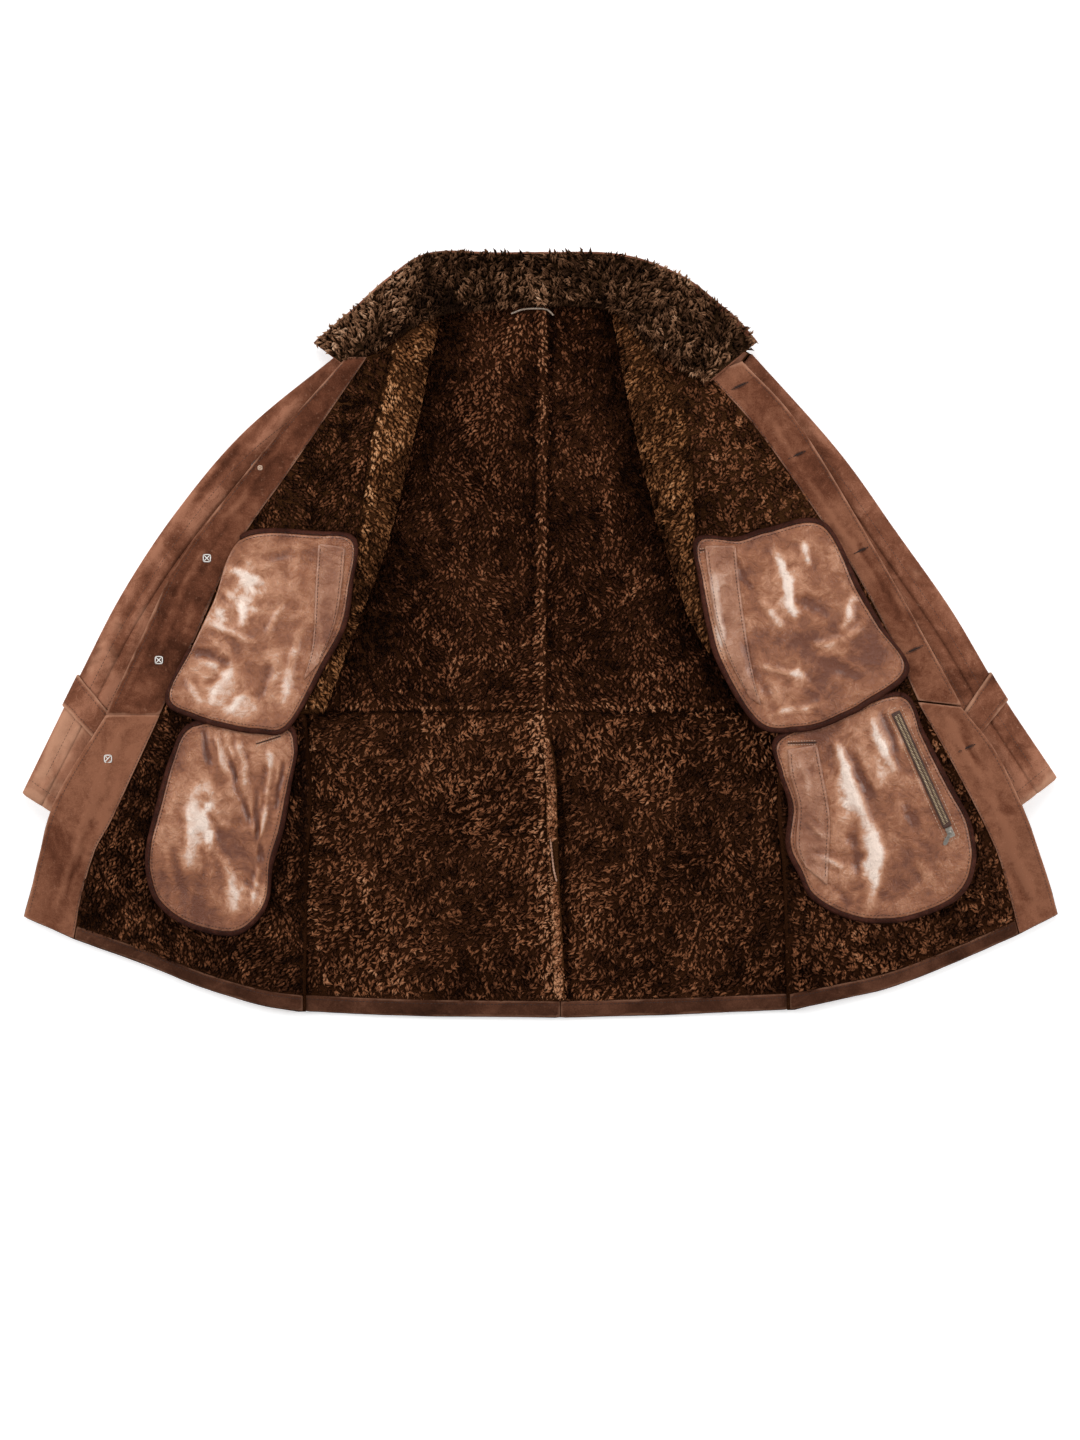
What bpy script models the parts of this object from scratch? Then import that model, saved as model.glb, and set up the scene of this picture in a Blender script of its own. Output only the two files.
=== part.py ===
"""Shearling coat laid open on its back, built as it is cut and sewn.

Every panel is a wall of hide and fleece between two rails. The panels are laid one on another
from the bottom up: back, sleeves, buttons, rolled side fronts, fronts, facings, pockets, collar.
Tables are in millimetres from the centre back seam (x) and the hem line (y); meshes are in metres.
"""

import math

import bpy
import bmesh
import numpy as np
from mathutils import Matrix, Vector
from mathutils.bvhtree import BVHTree

# Driving dimensions, in millimetres.
CENTRE_SEAM_X = 8.55  # centre back seam, from the middle of the whole coat
HALF_LENGTH = 472.2  # hem line to the middle of the whole coat
FLEECE_PANEL = 12.0  # back: hide and fleece together
FRONT_PANEL = 9.0  # fronts: hide and shorter fleece
SLEEVE_WALL = 7.0
COLLAR_PANEL = 14.0  # longest fleece
SUEDE = 2.2  # a facing or hem: hide with its turned edge
LEATHER_BAG = 3.4  # two layers of pocket leather with air between
BINDING_WIDTH = 5.0
BINDING_PROUD = 1.4  # binding above the bag's edge
STRAP = 2.8
SEAM = 0.42  # gap between two pieces that are sewn together
LIE = 0.5  # gap between a piece and what it lies on
REST = 1.1  # the same under a front, which bridges from button to button
HEM_DEPTH = 18.0
ARMHOLE_EASE = 3.2  # sleeve head to armhole, at the curve
ROLL_RADIUS = 7.6  # centre line of the roll at a front's fold
BUTTON_RADIUS = 12.5
BUTTON_THICK = 4.2
PULL_LENGTH = 20.0
PULL_DROOP = 13.0  # degrees below level, tip on the leather

COLOURS = {
    "fleece": ((0.085, 0.032, 0.010), 0.95, 0.0),
    "gold_fleece": ((0.19, 0.078, 0.018), 0.95, 0.0),
    "collar_fleece": ((0.10, 0.055, 0.022), 0.95, 0.0),
    "suede": ((0.14, 0.055, 0.027), 0.9, 0.0),
    "leather": ((0.30, 0.11, 0.055), 0.35, 0.0),
    "binding": ((0.06, 0.018, 0.014), 0.5, 0.0),
    "tape": ((0.16, 0.075, 0.045), 0.7, 0.0),
    "metal": ((0.55, 0.48, 0.38), 0.3, 1.0),
    "cord": ((0.45, 0.36, 0.26), 0.7, 0.0),
    "button": ((0.07, 0.03, 0.018), 0.5, 0.0),
}

# Each side's rails, from the shoulder down: (x, y).
LEFT = {
    "armhole": [(-252, 820), (-216, 768), (-206, 699), (-230, 622), (-284, 557)],
    "side_seam": [(-284, 557), (-293, 465), (-300, 376)],
    "fold": [(-132, 867), (-166, 715), (-200, 576), (-240, 471), (-274, 376)],
    "strip_seam": [(-189, 828), (-216, 711), (-234, 588), (-266, 483), (-318, 376)],
    "facing_edge": [(-222, 812), (-316, 674), (-383, 576), (-433, 465), (-476, 373)],
    "front_edge": [(-246, 812), (-351, 692), (-449, 563), (-501, 459), (-541, 373)],
    "skirt_side": [(-300, 376), (-293, 283), (-298, 175), (-300, 41), (-300, 8)],
    "skirt_facing": [(-476, 372), (-531, 252), (-555, 208), (-574, 151), (-585, 98)],
    "skirt_edge": [(-541, 372), (-601, 273), (-624, 200), (-636, 155), (-645, 124)],
    "hem": [(-300, 8), (-353, 16), (-427, 38), (-501, 68), (-585, 98)],
    "sleeve_outer": [(-256, 822), (-373, 723), (-456, 625), (-522, 526), (-573, 428), (-647, 277)],
    "sleeve_inner": [(-284, 549), (-360, 428), (-436, 312), (-514, 196)],
}
RIGHT = {
    "armhole": [(250, 818), (214, 768), (203, 699), (228, 622), (281, 557)],
    "side_seam": [(281, 557), (288, 465), (293, 376)],
    "fold": [(81, 870), (112, 711), (151, 566), (190, 467), (262, 378)],
    "strip_seam": [(133, 819), (173, 732), (184, 594), (213, 477), (303, 379)],
    "facing_edge": [(199, 791), (262, 720), (360, 578), (410, 492), (456, 391)],
    "front_edge": [(240, 807), (311, 727), (410, 563), (465, 465), (508, 385)],
    "skirt_side": [(293, 376), (287, 262), (294, 175), (298, 41), (299, 10)],
    "skirt_facing": [(456, 388), (498, 314), (545, 224), (564, 175), (584, 104)],
    "skirt_edge": [(508, 382), (549, 330), (583, 261), (614, 180), (630, 127)],
    "hem": [(299, 10), (348, 20), (422, 37), (496, 65), (584, 104)],
    "sleeve_outer": [(252, 821), (359, 699), (430, 600), (499, 502), (558, 403), (629, 296)],
    "sleeve_inner": [(281, 549), (352, 431), (424, 313), (494, 196)],
}
CENTRE_SEAM = [(0, 886), (-1, 699), (-1, 563), (-1, 376)]
VENT = [(-1, 376), (6, 311), (8, 248), (10, 183), (15, 87), (17, 0)]
BACK_TOP_LEFT = [(-252, 820), (-150, 866), (0, 886)]
BACK_TOP_RIGHT = [(250, 818), (128, 862), (0, 886)]
BACK_HEM_LEFT = [(-300, 8), (-169, 2), (17, 0)]
BACK_HEM_RIGHT = [(299, 10), (164, 4), (17, 0)]
COLLAR_INNER = [(-250, 806), (-199, 832), (-150, 862), (-101, 876), (0, 883), (77, 876), (118, 838), (156, 810),
                (200, 786)]
COLLAR_OUTER = [(-287, 832), (-240, 870), (-196, 910), (-144, 942), (-60, 942), (80, 941), (160, 916), (219, 872),
                (258, 832)]

# Cross-section of a sleeve by station: share of its length, height, both in the tube's own measure.
SLEEVE_HEIGHTS = [(0.0, 25.0), (0.15, 29.0), (0.45, 31.0), (0.8, 29.0), (1.0, 30.0)]

# Outlines of the pocket bags, clockwise from the upper outer corner: (x, y).
BAG_UPPER_LEFT = [(-375, 593), (-280, 597), (-235, 588), (-239, 533), (-248, 481), (-273, 433), (-317, 357),
                  (-353, 351), (-392, 357), (-433, 369), (-467, 392), (-440, 453), (-413, 513)]
BAG_UPPER_RIGHT = [(339, 609), (269, 601), (232, 590), (183, 589), (187, 538), (197, 481), (209, 439), (241, 381),
                   (269, 354), (308, 353), (336, 358), (364, 370), (392, 385), (443, 427), (411, 481), (385, 526)]
BAG_LOWER_LEFT = [(-437, 362), (-461, 321), (-481, 252), (-491, 209), (-491, 177), (-481, 145), (-456, 121),
                  (-424, 107), (-385, 102), (-359, 118), (-343, 145), (-338, 188), (-325, 232), (-315, 287),
                  (-307, 335), (-319, 362), (-370, 368)]
BAG_LOWER_RIGHT = [(434, 400), (462, 351), (481, 314), (501, 276), (518, 244), (525, 212), (525, 191), (518, 165),
                   (501, 145), (472, 130), (434, 119), (395, 118), (369, 124), (346, 134), (323, 151), (311, 176),
                   (295, 212), (298, 261), (285, 305), (282, 345), (350, 372)]

# Thread marks of the fastening on the left front: (x, y) of each button under it.
BUTTONS = [(-292, 745), (-352, 676), (-417, 565), (-476, 440), (-538, 319)]
ZIP_TOP = (427, 376)
ZIP_END = (494, 229)
PULL_DIRECTION = (-0.42, -0.907)

TREES = {}
EDGES = {}


def clear_scene():
    for obj in list(bpy.data.objects):
        bpy.data.objects.remove(obj, do_unlink=True)


def own_material(name, kind):
    colour, roughness, metallic = COLOURS[kind]
    made = bpy.data.materials.new(name + "_" + kind)
    made.use_nodes = True
    shader = made.node_tree.nodes["Principled BSDF"]
    shader.inputs["Base Color"].default_value = (*colour, 1.0)
    shader.inputs["Roughness"].default_value = roughness
    shader.inputs["Metallic"].default_value = metallic
    made.diffuse_color = (*colour, 1.0)
    return made


def to_world(points):
    """Millimetres in the garment's own measure to metres about the middle of the coat."""
    world = np.array(points, float)
    world[..., 0] += CENTRE_SEAM_X
    world[..., 1] -= HALF_LENGTH
    return world / 1000.0


def spline(points, samples):
    """Evenly spaced points of a Catmull-Rom curve through the given ones."""
    given = np.array(points, float)
    ends = np.vstack([2 * given[0] - given[1], given, 2 * given[-1] - given[-2]])
    fine = []
    for k in range(len(given) - 1):
        a, b, c, d = ends[k : k + 4]
        for t in np.linspace(0, 1, 16, endpoint=False):
            fine.append(0.5 * (2 * b + (c - a) * t + (2 * a - 5 * b + 4 * c - d) * t**2
                               + (3 * b - a - 3 * c + d) * t**3))
    fine = np.vstack([fine, given[-1:]])
    length = np.r_[0, np.cumsum(np.linalg.norm(np.diff(fine, axis=0), axis=1))]
    where = np.array(samples) * length[-1]
    return np.stack([np.interp(where, length, fine[:, axis]) for axis in range(fine.shape[1])], axis=1)


def even(count):
    return np.linspace(0, 1, count)


def panel_plan(rails, columns, gap=SEAM):
    """Grid of (x, y) across two or more rails, pulled in by half a seam gap all round."""
    plan = []
    for row in zip(*rails):
        line = []
        for k in range(len(rails) - 1):
            for t in np.linspace(0, 1, columns[k], endpoint=False):
                line.append(row[k] * (1 - t) + row[k + 1] * t)
        plan.append(line + [row[-1]])
    plan = np.array(plan)
    inset = plan.copy()
    for edge, inner in ((np.s_[:, 0], np.s_[:, 1]), (np.s_[:, -1], np.s_[:, -2]),
                        (np.s_[0, :], np.s_[1, :]), (np.s_[-1, :], np.s_[-2, :])):
        step = plan[inner] - plan[edge]
        inset[edge] += step / np.linalg.norm(step, axis=-1, keepdims=True) * gap / 2
    return inset


def height_under(x, y, supports, reach):
    """Highest surface of the supports within reach of a point."""
    spots = [(x, y)]
    for share in (0.34, 0.67, 1.0):
        for k in range(10):
            turn = 2 * math.pi * (k + share) / 10
            spots.append((x + reach * share * math.cos(turn), y + reach * share * math.sin(turn)))
    top = 0.0
    down = Vector((0, 0, -1))
    for spot in spots:
        at = to_world((*spot, 0.0))
        for name in supports:
            hit = TREES[name].ray_cast(Vector((at[0], at[1], 1.0)), down)
            if hit[0] is not None:
                top = max(top, hit[0].z * 1000)
    return top


def settle(plan, supports, reach, gap=LIE, relax=12, pinned=None):
    """Height of a cloth's underside where it lies over the supports and bridges between them."""
    under = np.array([[height_under(x, y, supports, reach) for x, y in row] for row in plan])
    floor = np.where(under > 0, under + gap, 0.0)
    height = floor.copy()
    if pinned is not None:
        height[pinned[0]] = pinned[1]
    for _ in range(relax):
        padded = np.pad(height, 1, mode="edge")
        mean = (padded[:-2, 1:-1] + padded[2:, 1:-1] + padded[1:-1, :-2] + padded[1:-1, 2:]) / 4
        height = np.maximum(floor, 0.4 * height + 0.6 * mean)
        if pinned is not None:
            height[pinned[0]] = pinned[1]
    return height


def keep(bm, name, kind, smooth=True):
    """Finish a closed bmesh as a named object with its own material."""
    bmesh.ops.triangulate(bm, faces=bm.faces[:], quad_method="FIXED")
    if bm.calc_volume(signed=True) < 0:
        bmesh.ops.reverse_faces(bm, faces=bm.faces[:])
    mesh = bpy.data.meshes.new(name)
    bm.to_mesh(mesh)
    TREES[name] = BVHTree.FromBMesh(bm)
    bm.free()
    if smooth:
        mesh.shade_smooth()
        mesh.set_sharp_from_angle(angle=math.radians(50))
    obj = bpy.data.objects.new(name, mesh)
    obj.data.materials.append(own_material(name, kind))
    bpy.context.scene.collection.objects.link(obj)
    return obj


def wall(name, kind, lower, upper):
    """Closed solid between two grids of points, rows by columns, in millimetres."""
    rows, columns = lower.shape[:2]
    bm = bmesh.new()
    sheets = []
    for grid in (lower, upper):
        world = to_world(grid)
        sheets.append([[bm.verts.new(point) for point in row] for row in world])
    low, high = sheets
    for i in range(rows - 1):
        for j in range(columns - 1):
            bm.faces.new((low[i][j], low[i + 1][j], low[i + 1][j + 1], low[i][j + 1]))
            bm.faces.new((high[i][j], high[i][j + 1], high[i + 1][j + 1], high[i + 1][j]))
    rim = [(0, j) for j in range(columns)]
    rim += [(i, columns - 1) for i in range(1, rows)]
    rim += [(rows - 1, j) for j in range(columns - 2, -1, -1)]
    rim += [(i, 0) for i in range(rows - 2, 0, -1)]
    for a, b in zip(rim, rim[1:] + rim[:1]):
        bm.faces.new((low[a[0]][a[1]], low[b[0]][b[1]], high[b[0]][b[1]], high[a[0]][a[1]]))
    return keep(bm, name, kind)


def layer(name, kind, plan, height, thickness):
    """Panel of one thickness, or a thickness per point, over a height grid."""
    lower = np.dstack([plan, height])
    upper = np.dstack([plan, height + thickness])
    EDGES[name] = (lower, upper)
    return wall(name, kind, lower, upper)


def thinner_rim(rows, columns, full, edge, sides):
    """Thickness grid that is full inside and thinner along the named sides."""
    thick = np.full((rows, columns), float(full))
    for side in sides:
        thick[{"first": np.s_[:, 0], "last": np.s_[:, -1], "top": np.s_[0, :], "foot": np.s_[-1, :]}[side]] = edge
    return thick


def build_back(side, rails, top, hem):
    """Upper back and back skirt of one side, flat on what the coat lies on."""
    rows = even(15)
    sides = spline(rails["armhole"][:-1] + rails["side_seam"], rows)
    middle = spline(CENTRE_SEAM, rows)
    plan = panel_plan([sides, middle], [6])
    top_edge = spline(top, even(7))
    plan[0] = top_edge + (plan[1] - top_edge) * 0.004
    height = np.zeros(plan.shape[:2])
    layer("back_upper_" + side, "fleece", plan, height, FLEECE_PANEL)

    rows = np.r_[np.linspace(0, 1 - HEM_DEPTH / 372, 8), 1.0]
    plan = panel_plan([spline(rails["skirt_side"], rows), spline(VENT, rows)], [6])
    hem_edge = spline(hem, even(7))
    plan[-1] = hem_edge + (plan[-2] - hem_edge) * 0.01
    thick = thinner_rim(9, 7, FLEECE_PANEL, 5.0, ["foot"])
    thick[-2] = 7.0
    layer("back_skirt_" + side, "fleece", plan, np.zeros(plan.shape[:2]), thick)


def sleeve_grid(rails, stations=13):
    """Outer and inner skin of a flattened two-piece sleeve: station by point round the tube."""
    share = even(stations)
    outer = spline(rails["sleeve_outer"], share)
    inner = spline(rails["sleeve_inner"], share)
    heights = np.interp(share, *zip(*SLEEVE_HEIGHTS))
    turns = [math.radians(a) for a in (124, 140, 156, 170, 184, 200, 220, 250, 290, 320, 336,
                                       352, 8, 22, 38, 58, 80, 102, 124)]
    skins = np.zeros((2, stations, len(turns), 3))
    armhole = spline(rails["armhole"], even(41))
    for i in range(stations):
        width = np.linalg.norm(inner[i] - outer[i])
        profile = []
        for turn in turns:
            c, s = math.cos(turn), math.sin(turn)
            across = width / 2 * (1 + math.copysign(abs(c) ** (2 / 2.4), c))
            power = 2 / 2.3 if s > 0 else 2 / 5.0
            up = heights[i] / 2 * (1 + math.copysign(abs(s) ** power, s))
            profile.append((across, max(0.0, up - 1.0) if s < 0 else up))
        profile = np.array(profile)
        loop = np.vstack([profile[-2], profile, profile[1]])
        tangent = loop[2:] - loop[:-2]
        normal = np.stack([tangent[:, 1], -tangent[:, 0]], axis=1)
        normal /= np.linalg.norm(normal, axis=1, keepdims=True)
        hollow = profile - normal * SLEEVE_WALL
        middle = profile.mean(axis=0)
        if np.dot(hollow[0] - profile[0], middle - profile[0]) < 0:
            hollow = profile + normal * SLEEVE_WALL
        for k, section in enumerate((profile, hollow)):
            v = np.clip(section[:, 0] / width, 0, 1)
            place = outer[i] + (inner[i] - outer[i]) * v[:, None]
            cap = max(0.0, 1 - share[i] / 0.3) ** 2
            seam = np.stack([np.interp(v, even(41), armhole[:, axis]) for axis in (0, 1)], axis=1)
            straight = outer[0] + (inner[0] - outer[0]) * v[:, None]
            out = (outer[i] - inner[i]) / width
            down = np.array([out[1], -out[0]])
            down *= math.copysign(1.0, np.dot(down, outer[-1] - outer[0]))
            place = place + (seam - straight + down * ARMHOLE_EASE * (1 + 2.2 * v[:, None] ** 4)) * cap
            skins[k, i] = np.column_stack([place, section[:, 1]])
    return skins


def build_sleeve(side, rails):
    skins = sleeve_grid(rails)
    lower_seam = 10
    halves = {"sleeve_over_": slice(0, lower_seam + 1), "sleeve_under_": slice(lower_seam, 19)}
    for stem, part in halves.items():
        outer, inner = skins[0][:, part].copy(), skins[1][:, part].copy()
        for grid in (outer, inner):
            for edge, beside in ((0, 1), (-1, -2)):
                step = grid[:, beside] - grid[:, edge]
                grid[:, edge] += step / np.linalg.norm(step, axis=-1, keepdims=True) * SEAM / 2
        wall(stem + side, "suede", inner, outer)
    return skins


def build_strap(side, skins):
    """Cuff strap: a band laid round the sleeve's outer edge, from the sleeve's own points."""
    stations = len(skins[0])
    rows = []
    for share in (0.765, 0.795, 0.825):
        at = share * (stations - 1)
        k = int(at)
        rows.append(skins[0][k] * (1 - at + k) + skins[0][k + 1] * (at - k))
    around = np.array(rows)
    around = np.concatenate([around[:, 16:18], around[:, 0:6]], axis=1)
    across = np.gradient(around, axis=1)
    along = np.gradient(around, axis=0)
    normal = np.cross(across, along)
    normal /= np.linalg.norm(normal, axis=-1, keepdims=True)
    if normal[1, 1, 2] < 0:
        normal = -normal
    wall("cuff_strap_" + side, "suede", around + normal * 0.7, around + normal * (0.7 + STRAP))


def build_button(index, x, y, supports):
    """Flat button with a raised rim under the front, resting on the sleeve."""
    base = height_under(x, y, supports, BUTTON_RADIUS) + 0.4
    profile = [(0, 0), (BUTTON_RADIUS * 0.8, 0), (BUTTON_RADIUS, 1.2), (BUTTON_RADIUS, 3.0),
               (BUTTON_RADIUS * 0.82, BUTTON_THICK), (BUTTON_RADIUS * 0.6, 3.2), (0, 3.2)]
    bm = bmesh.new()
    sides = 14
    rings = []
    for radius, up in profile:
        if radius == 0:
            rings.append([bm.verts.new(to_world((x, y, base + up)))])
            continue
        rings.append([
            bm.verts.new(to_world((x + radius * math.cos(2 * math.pi * k / sides),
                                   y + radius * math.sin(2 * math.pi * k / sides), base + up)))
            for k in range(sides)
        ])
    for first, second in zip(rings, rings[1:]):
        for k in range(sides):
            m = (k + 1) % sides
            if len(first) == 1:
                bm.faces.new((first[0], second[k], second[m]))
            elif len(second) == 1:
                bm.faces.new((first[k], second[0], first[m]))
            else:
                bm.faces.new((first[k], second[k], second[m], first[m]))
    keep(bm, "button_" + str(index), "button")


def build_side_front(side, rails, supports):
    """Rolled side front: lies fleece down on the back, turns over at the fold, returns fleece up."""
    rows = 12
    share = even(rows)
    root = spline(rails["armhole"][:-1] + rails["side_seam"], share)
    fold = spline(rails["fold"], share)
    seam = spline(rails["strip_seam"], share)
    under = FLEECE_PANEL + LIE
    lower = np.zeros((rows, 12, 3))
    upper = np.zeros((rows, 12, 3))
    top_plan = panel_plan([fold, seam], [2])
    top_height = settle(top_plan, supports, 30, relax=6)
    for i in range(rows):
        out = (fold[i] - root[i]) / np.linalg.norm(fold[i] - root[i])
        back = (seam[i] - fold[i]) / np.linalg.norm(seam[i] - fold[i])
        radius = ROLL_RADIUS
        leg = under + FRONT_PANEL / 2
        rise = max(leg + 2 * radius, top_height[i].max() + FRONT_PANEL / 2)
        radius = (rise - leg) / 2
        centre = fold[i] - out * (FRONT_PANEL / 2 + 11.0)
        line = [(*(root[i] + out * 3.0), leg), (*((root[i] + centre) / 2), leg), (*centre, leg)]
        facing = [(out, -1)] * 0
        for turn in (-60, -25, 10, 45):
            c, s = math.cos(math.radians(turn)), math.sin(math.radians(turn))
            facing.append((c, s))
            line.append((*(centre + out * 11.0 * c), leg + radius + radius * s))
        line.append((*centre, leg + 2 * radius))
        far = seam[i]
        for t in (0.25, 0.5, 0.75, 1.0):
            line.append((*(centre * (1 - t) + (far - back * SEAM / 2) * t), leg + 2 * radius))
        line = np.array(line)
        step = np.gradient(line, axis=0)
        flat = np.stack([step[:, 0] * out[0] + step[:, 1] * out[1], step[:, 2]], axis=1)
        flat /= np.linalg.norm(flat, axis=1, keepdims=True)
        side_on = np.stack([flat[:, 1], -flat[:, 0]], axis=1)
        shift = np.column_stack([side_on[:, :1] * out, side_on[:, 1]])
        shift[0] = shift[1] = (0, 0, -1)
        shift[8:] = (0, 0, 1)
        half = FRONT_PANEL / 2
        outer = line + shift * half
        inner = line - shift * half
        lower[i], upper[i] = inner, outer
    for grid in (lower, upper):
        grid[0] += (grid[1] - grid[0]) * 0.004
        grid[-1] += (grid[-2] - grid[-1]) * 0.006
    EDGES["side_front_" + side] = (lower, upper)
    wall("side_front_" + side, "gold_fleece", lower, upper)


def build_front(side, rails, supports):
    """Front, its skirt below the waist seam, their suede facings and the turned hem."""
    rows = even(12)
    rail = [spline(rails[name], rows) for name in ("strip_seam", "facing_edge", "front_edge")]
    plan = panel_plan(rail, [5, 2])
    beside = EDGES["side_front_" + side][0][:, -1, 2]
    height = settle(plan, supports, 42, gap=REST, pinned=(np.s_[:, 0], beside))
    thick = thinner_rim(12, 8, FRONT_PANEL, 4.0, ["last"])
    thick[:, -2], thick[:, -3] = 4.6, 5.2
    layer("front_upper_" + side, "fleece", plan, height, thick)
    add_facing("facing_upper_" + side, "front_upper_" + side, slice(0, 12))

    rows = np.r_[np.linspace(0, 1 - HEM_DEPTH / 372, 9), 1.0]
    rail = [spline(rails[name], rows) for name in ("skirt_side", "skirt_facing", "skirt_edge")]
    plan = panel_plan(rail, [5, 2])
    hem = spline(rails["hem"], even(6))
    plan[-1, :6] = hem + (plan[-2, :6] - hem) * 0.012
    for i in range(1, 9):
        pull = (rows[i] / rows[-2]) ** 3
        chord = plan[i, 0] + (plan[i, 5] - plan[i, 0]) * np.linspace(0, 1, 6)[:, None]
        bow = hem - (hem[0] + (hem[-1] - hem[0]) * np.linspace(0, 1, 6)[:, None])
        plan[i, :6] = chord + bow * pull
    above = EDGES["front_upper_" + side][0][-1]
    order = np.argsort(above[:, 0])
    first = np.interp(plan[0, :, 0], above[order, 0], above[order, 2])
    height = settle(plan, supports, 38, gap=REST, relax=16, pinned=(np.s_[0, :], first))
    thick = thinner_rim(10, 8, FRONT_PANEL, 4.0, ["foot", "last"])
    thick[-2, :] = 6.0
    thick[:, -2], thick[:, -3] = 4.6, 5.2
    layer("front_skirt_" + side, "fleece", plan, height, thick)
    add_facing("facing_lower_" + side, "front_skirt_" + side, slice(0, 10))
    add_hem("hem_front_" + side, "front_skirt_" + side, slice(0, 6))


def add_facing(name, panel, rows):
    """Suede facing made from the panel's own outer columns, moved up."""
    top = EDGES[panel][1][rows, 5:].copy()
    top[:, 0, :2] += (top[:, 1, :2] - top[:, 0, :2]) * 0.01
    lift = np.array([0, 0, 1.0])
    wall(name, "suede", top + lift * LIE, top + lift * (LIE + SUEDE))


def add_hem(name, panel, columns):
    """Turned suede hem made from the panel's last two rows, moved up."""
    top = EDGES[panel][1][-2:, columns].copy()
    reach = top[1] - top[0]
    top[:, -1, :2] += (top[:, -2, :2] - top[:, -1, :2]) * 0.012
    top[:, 0, :2] += (top[:, 1, :2] - top[:, 0, :2]) * 0.006
    top[0] += reach * 0.02
    lift = np.array([0, 0, 1.0])
    wall(name, "suede", top + lift * LIE, top + lift * (LIE + SUEDE))


def closed_spline(points, count):
    ring = list(points)
    wrapped = spline(ring[-2:] + ring + ring[:3], np.linspace(0, 1, 600))
    start = np.argmin(np.linalg.norm(wrapped[:300] - ring[0], axis=1))
    end = 300 + np.argmin(np.linalg.norm(wrapped[300:] - ring[0], axis=1))
    return spline(wrapped[start : end + 1 : 4].tolist() + [wrapped[end].tolist()], np.linspace(0, 1, count + 1))[:-1]


def build_bag(name, outline, supports, fullness, bound=(0.0, 1.0), count=30):
    """Pocket bag of two leathers over the front, and the binding round the named part of its edge."""
    edge = closed_spline(outline, count)
    centre = edge.mean(axis=0)
    inward = centre - edge
    inward /= np.linalg.norm(inward, axis=1, keepdims=True)
    body_edge = edge + inward * (BINDING_WIDTH + SEAM)
    shares = (1.0, 0.8, 0.56, 0.3)
    plan = np.array([centre + (body_edge - centre) * share for share in shares])
    height = settle(plan, supports, 20, gap=LIE + 0.3, relax=4)
    middle = max(height_under(*centre, supports, 24) + LIE + 0.3, height[-1].mean())
    lift = [LEATHER_BAG + fullness * (1 - share**2) for share in shares]
    bm = bmesh.new()
    sheets = []
    for top in (False, True):
        rings = []
        for k in range(len(shares)):
            z = height[k] + (lift[k] if top else 0.0)
            rings.append([bm.verts.new(p) for p in to_world(np.column_stack([plan[k], z]))])
        tip = bm.verts.new(to_world((*centre, middle + (LEATHER_BAG + fullness if top else 0.0))))
        sheets.append((rings, tip))
        for first, second in zip(rings, rings[1:]):
            for k in range(count):
                m = (k + 1) % count
                face = (first[k], first[m], second[m], second[k])
                bm.faces.new(face if top else face[::-1])
        for k in range(count):
            face = (rings[-1][k], rings[-1][(k + 1) % count], tip)
            bm.faces.new(face if top else face[::-1])
    low, high = sheets[0][0][0], sheets[1][0][0]
    for k in range(count):
        m = (k + 1) % count
        bm.faces.new((low[k], low[m], high[m], high[k]))
    keep(bm, name, "leather")

    run = np.arange(round(bound[0] * count), round(bound[1] * count) + 1)
    index = run % count
    rim = np.stack([edge[index], edge[index] + inward[index] * BINDING_WIDTH], axis=1)
    if bound[1] - bound[0] == 1.0:
        rim[-1] += (rim[-2] - rim[-1]) * 0.05
    z = np.stack([height[0][index], height[0][index]], axis=1)
    z = np.maximum(z, settle(rim, supports, 9, relax=0))
    z[:, 0] = np.maximum(z[:, 0], z[:, 1] - 1.0)
    lower = np.dstack([rim, z])
    upper = np.dstack([rim, z + LEATHER_BAG + BINDING_PROUD])
    wall(name + "_binding", "binding", lower, upper)
    return edge


def build_strip(name, kind, left, right, supports, thickness, rows=10, columns=2, reach=7, gap=LIE):
    """Thin strip between two lines, laid on what is under it."""
    plan = panel_plan([spline(left, even(rows)), spline(right, even(rows))], [columns])
    height = settle(plan, supports, reach, gap=gap, relax=2)
    layer(name, kind, plan, height, thickness)


def build_collar(supports):
    share = even(19)
    plan = panel_plan([spline(COLLAR_INNER, share), spline(COLLAR_OUTER, share)], [4])
    height = settle(plan, supports, 16, gap=REST, relax=10)
    thick = thinner_rim(19, 5, COLLAR_PANEL, 6.0, ["last", "top", "foot"])
    thick[:, 0] = 9.0
    layer("collar", "collar_fleece", plan, height, thick)


def build_loop(supports):
    """Hanger loop, a thin cord arching between its two ends at the neck."""
    ends = [(-44, 868), (-30, 873), (-12, 874), (0, 873), (8, 866)]
    share = even(12)
    line = spline(ends, share)
    base = max(height_under(x, y, supports, 5) for x, y in line)
    bm = bmesh.new()
    rings = []
    radius = 1.1
    for k, (x, y) in enumerate(line):
        ahead = line[min(k + 1, 11)] - line[max(k - 1, 0)]
        ahead = ahead / np.linalg.norm(ahead)
        side_on = np.array([-ahead[1], ahead[0]])
        z = base + radius + 0.5 + 3.0 * math.sin(math.pi * share[k])
        ring = []
        for m in range(6):
            turn = 2 * math.pi * m / 6
            spot = np.array([x, y]) + side_on * radius * math.cos(turn)
            ring.append(bm.verts.new(to_world((*spot, z + radius * math.sin(turn)))))
        rings.append(ring)
    for first, second in zip(rings, rings[1:]):
        for m in range(6):
            n = (m + 1) % 6
            bm.faces.new((first[m], first[n], second[n], second[m]))
    bm.faces.new(rings[0][::-1])
    bm.faces.new(rings[-1])
    keep(bm, "hanger_loop", "cord")


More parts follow.
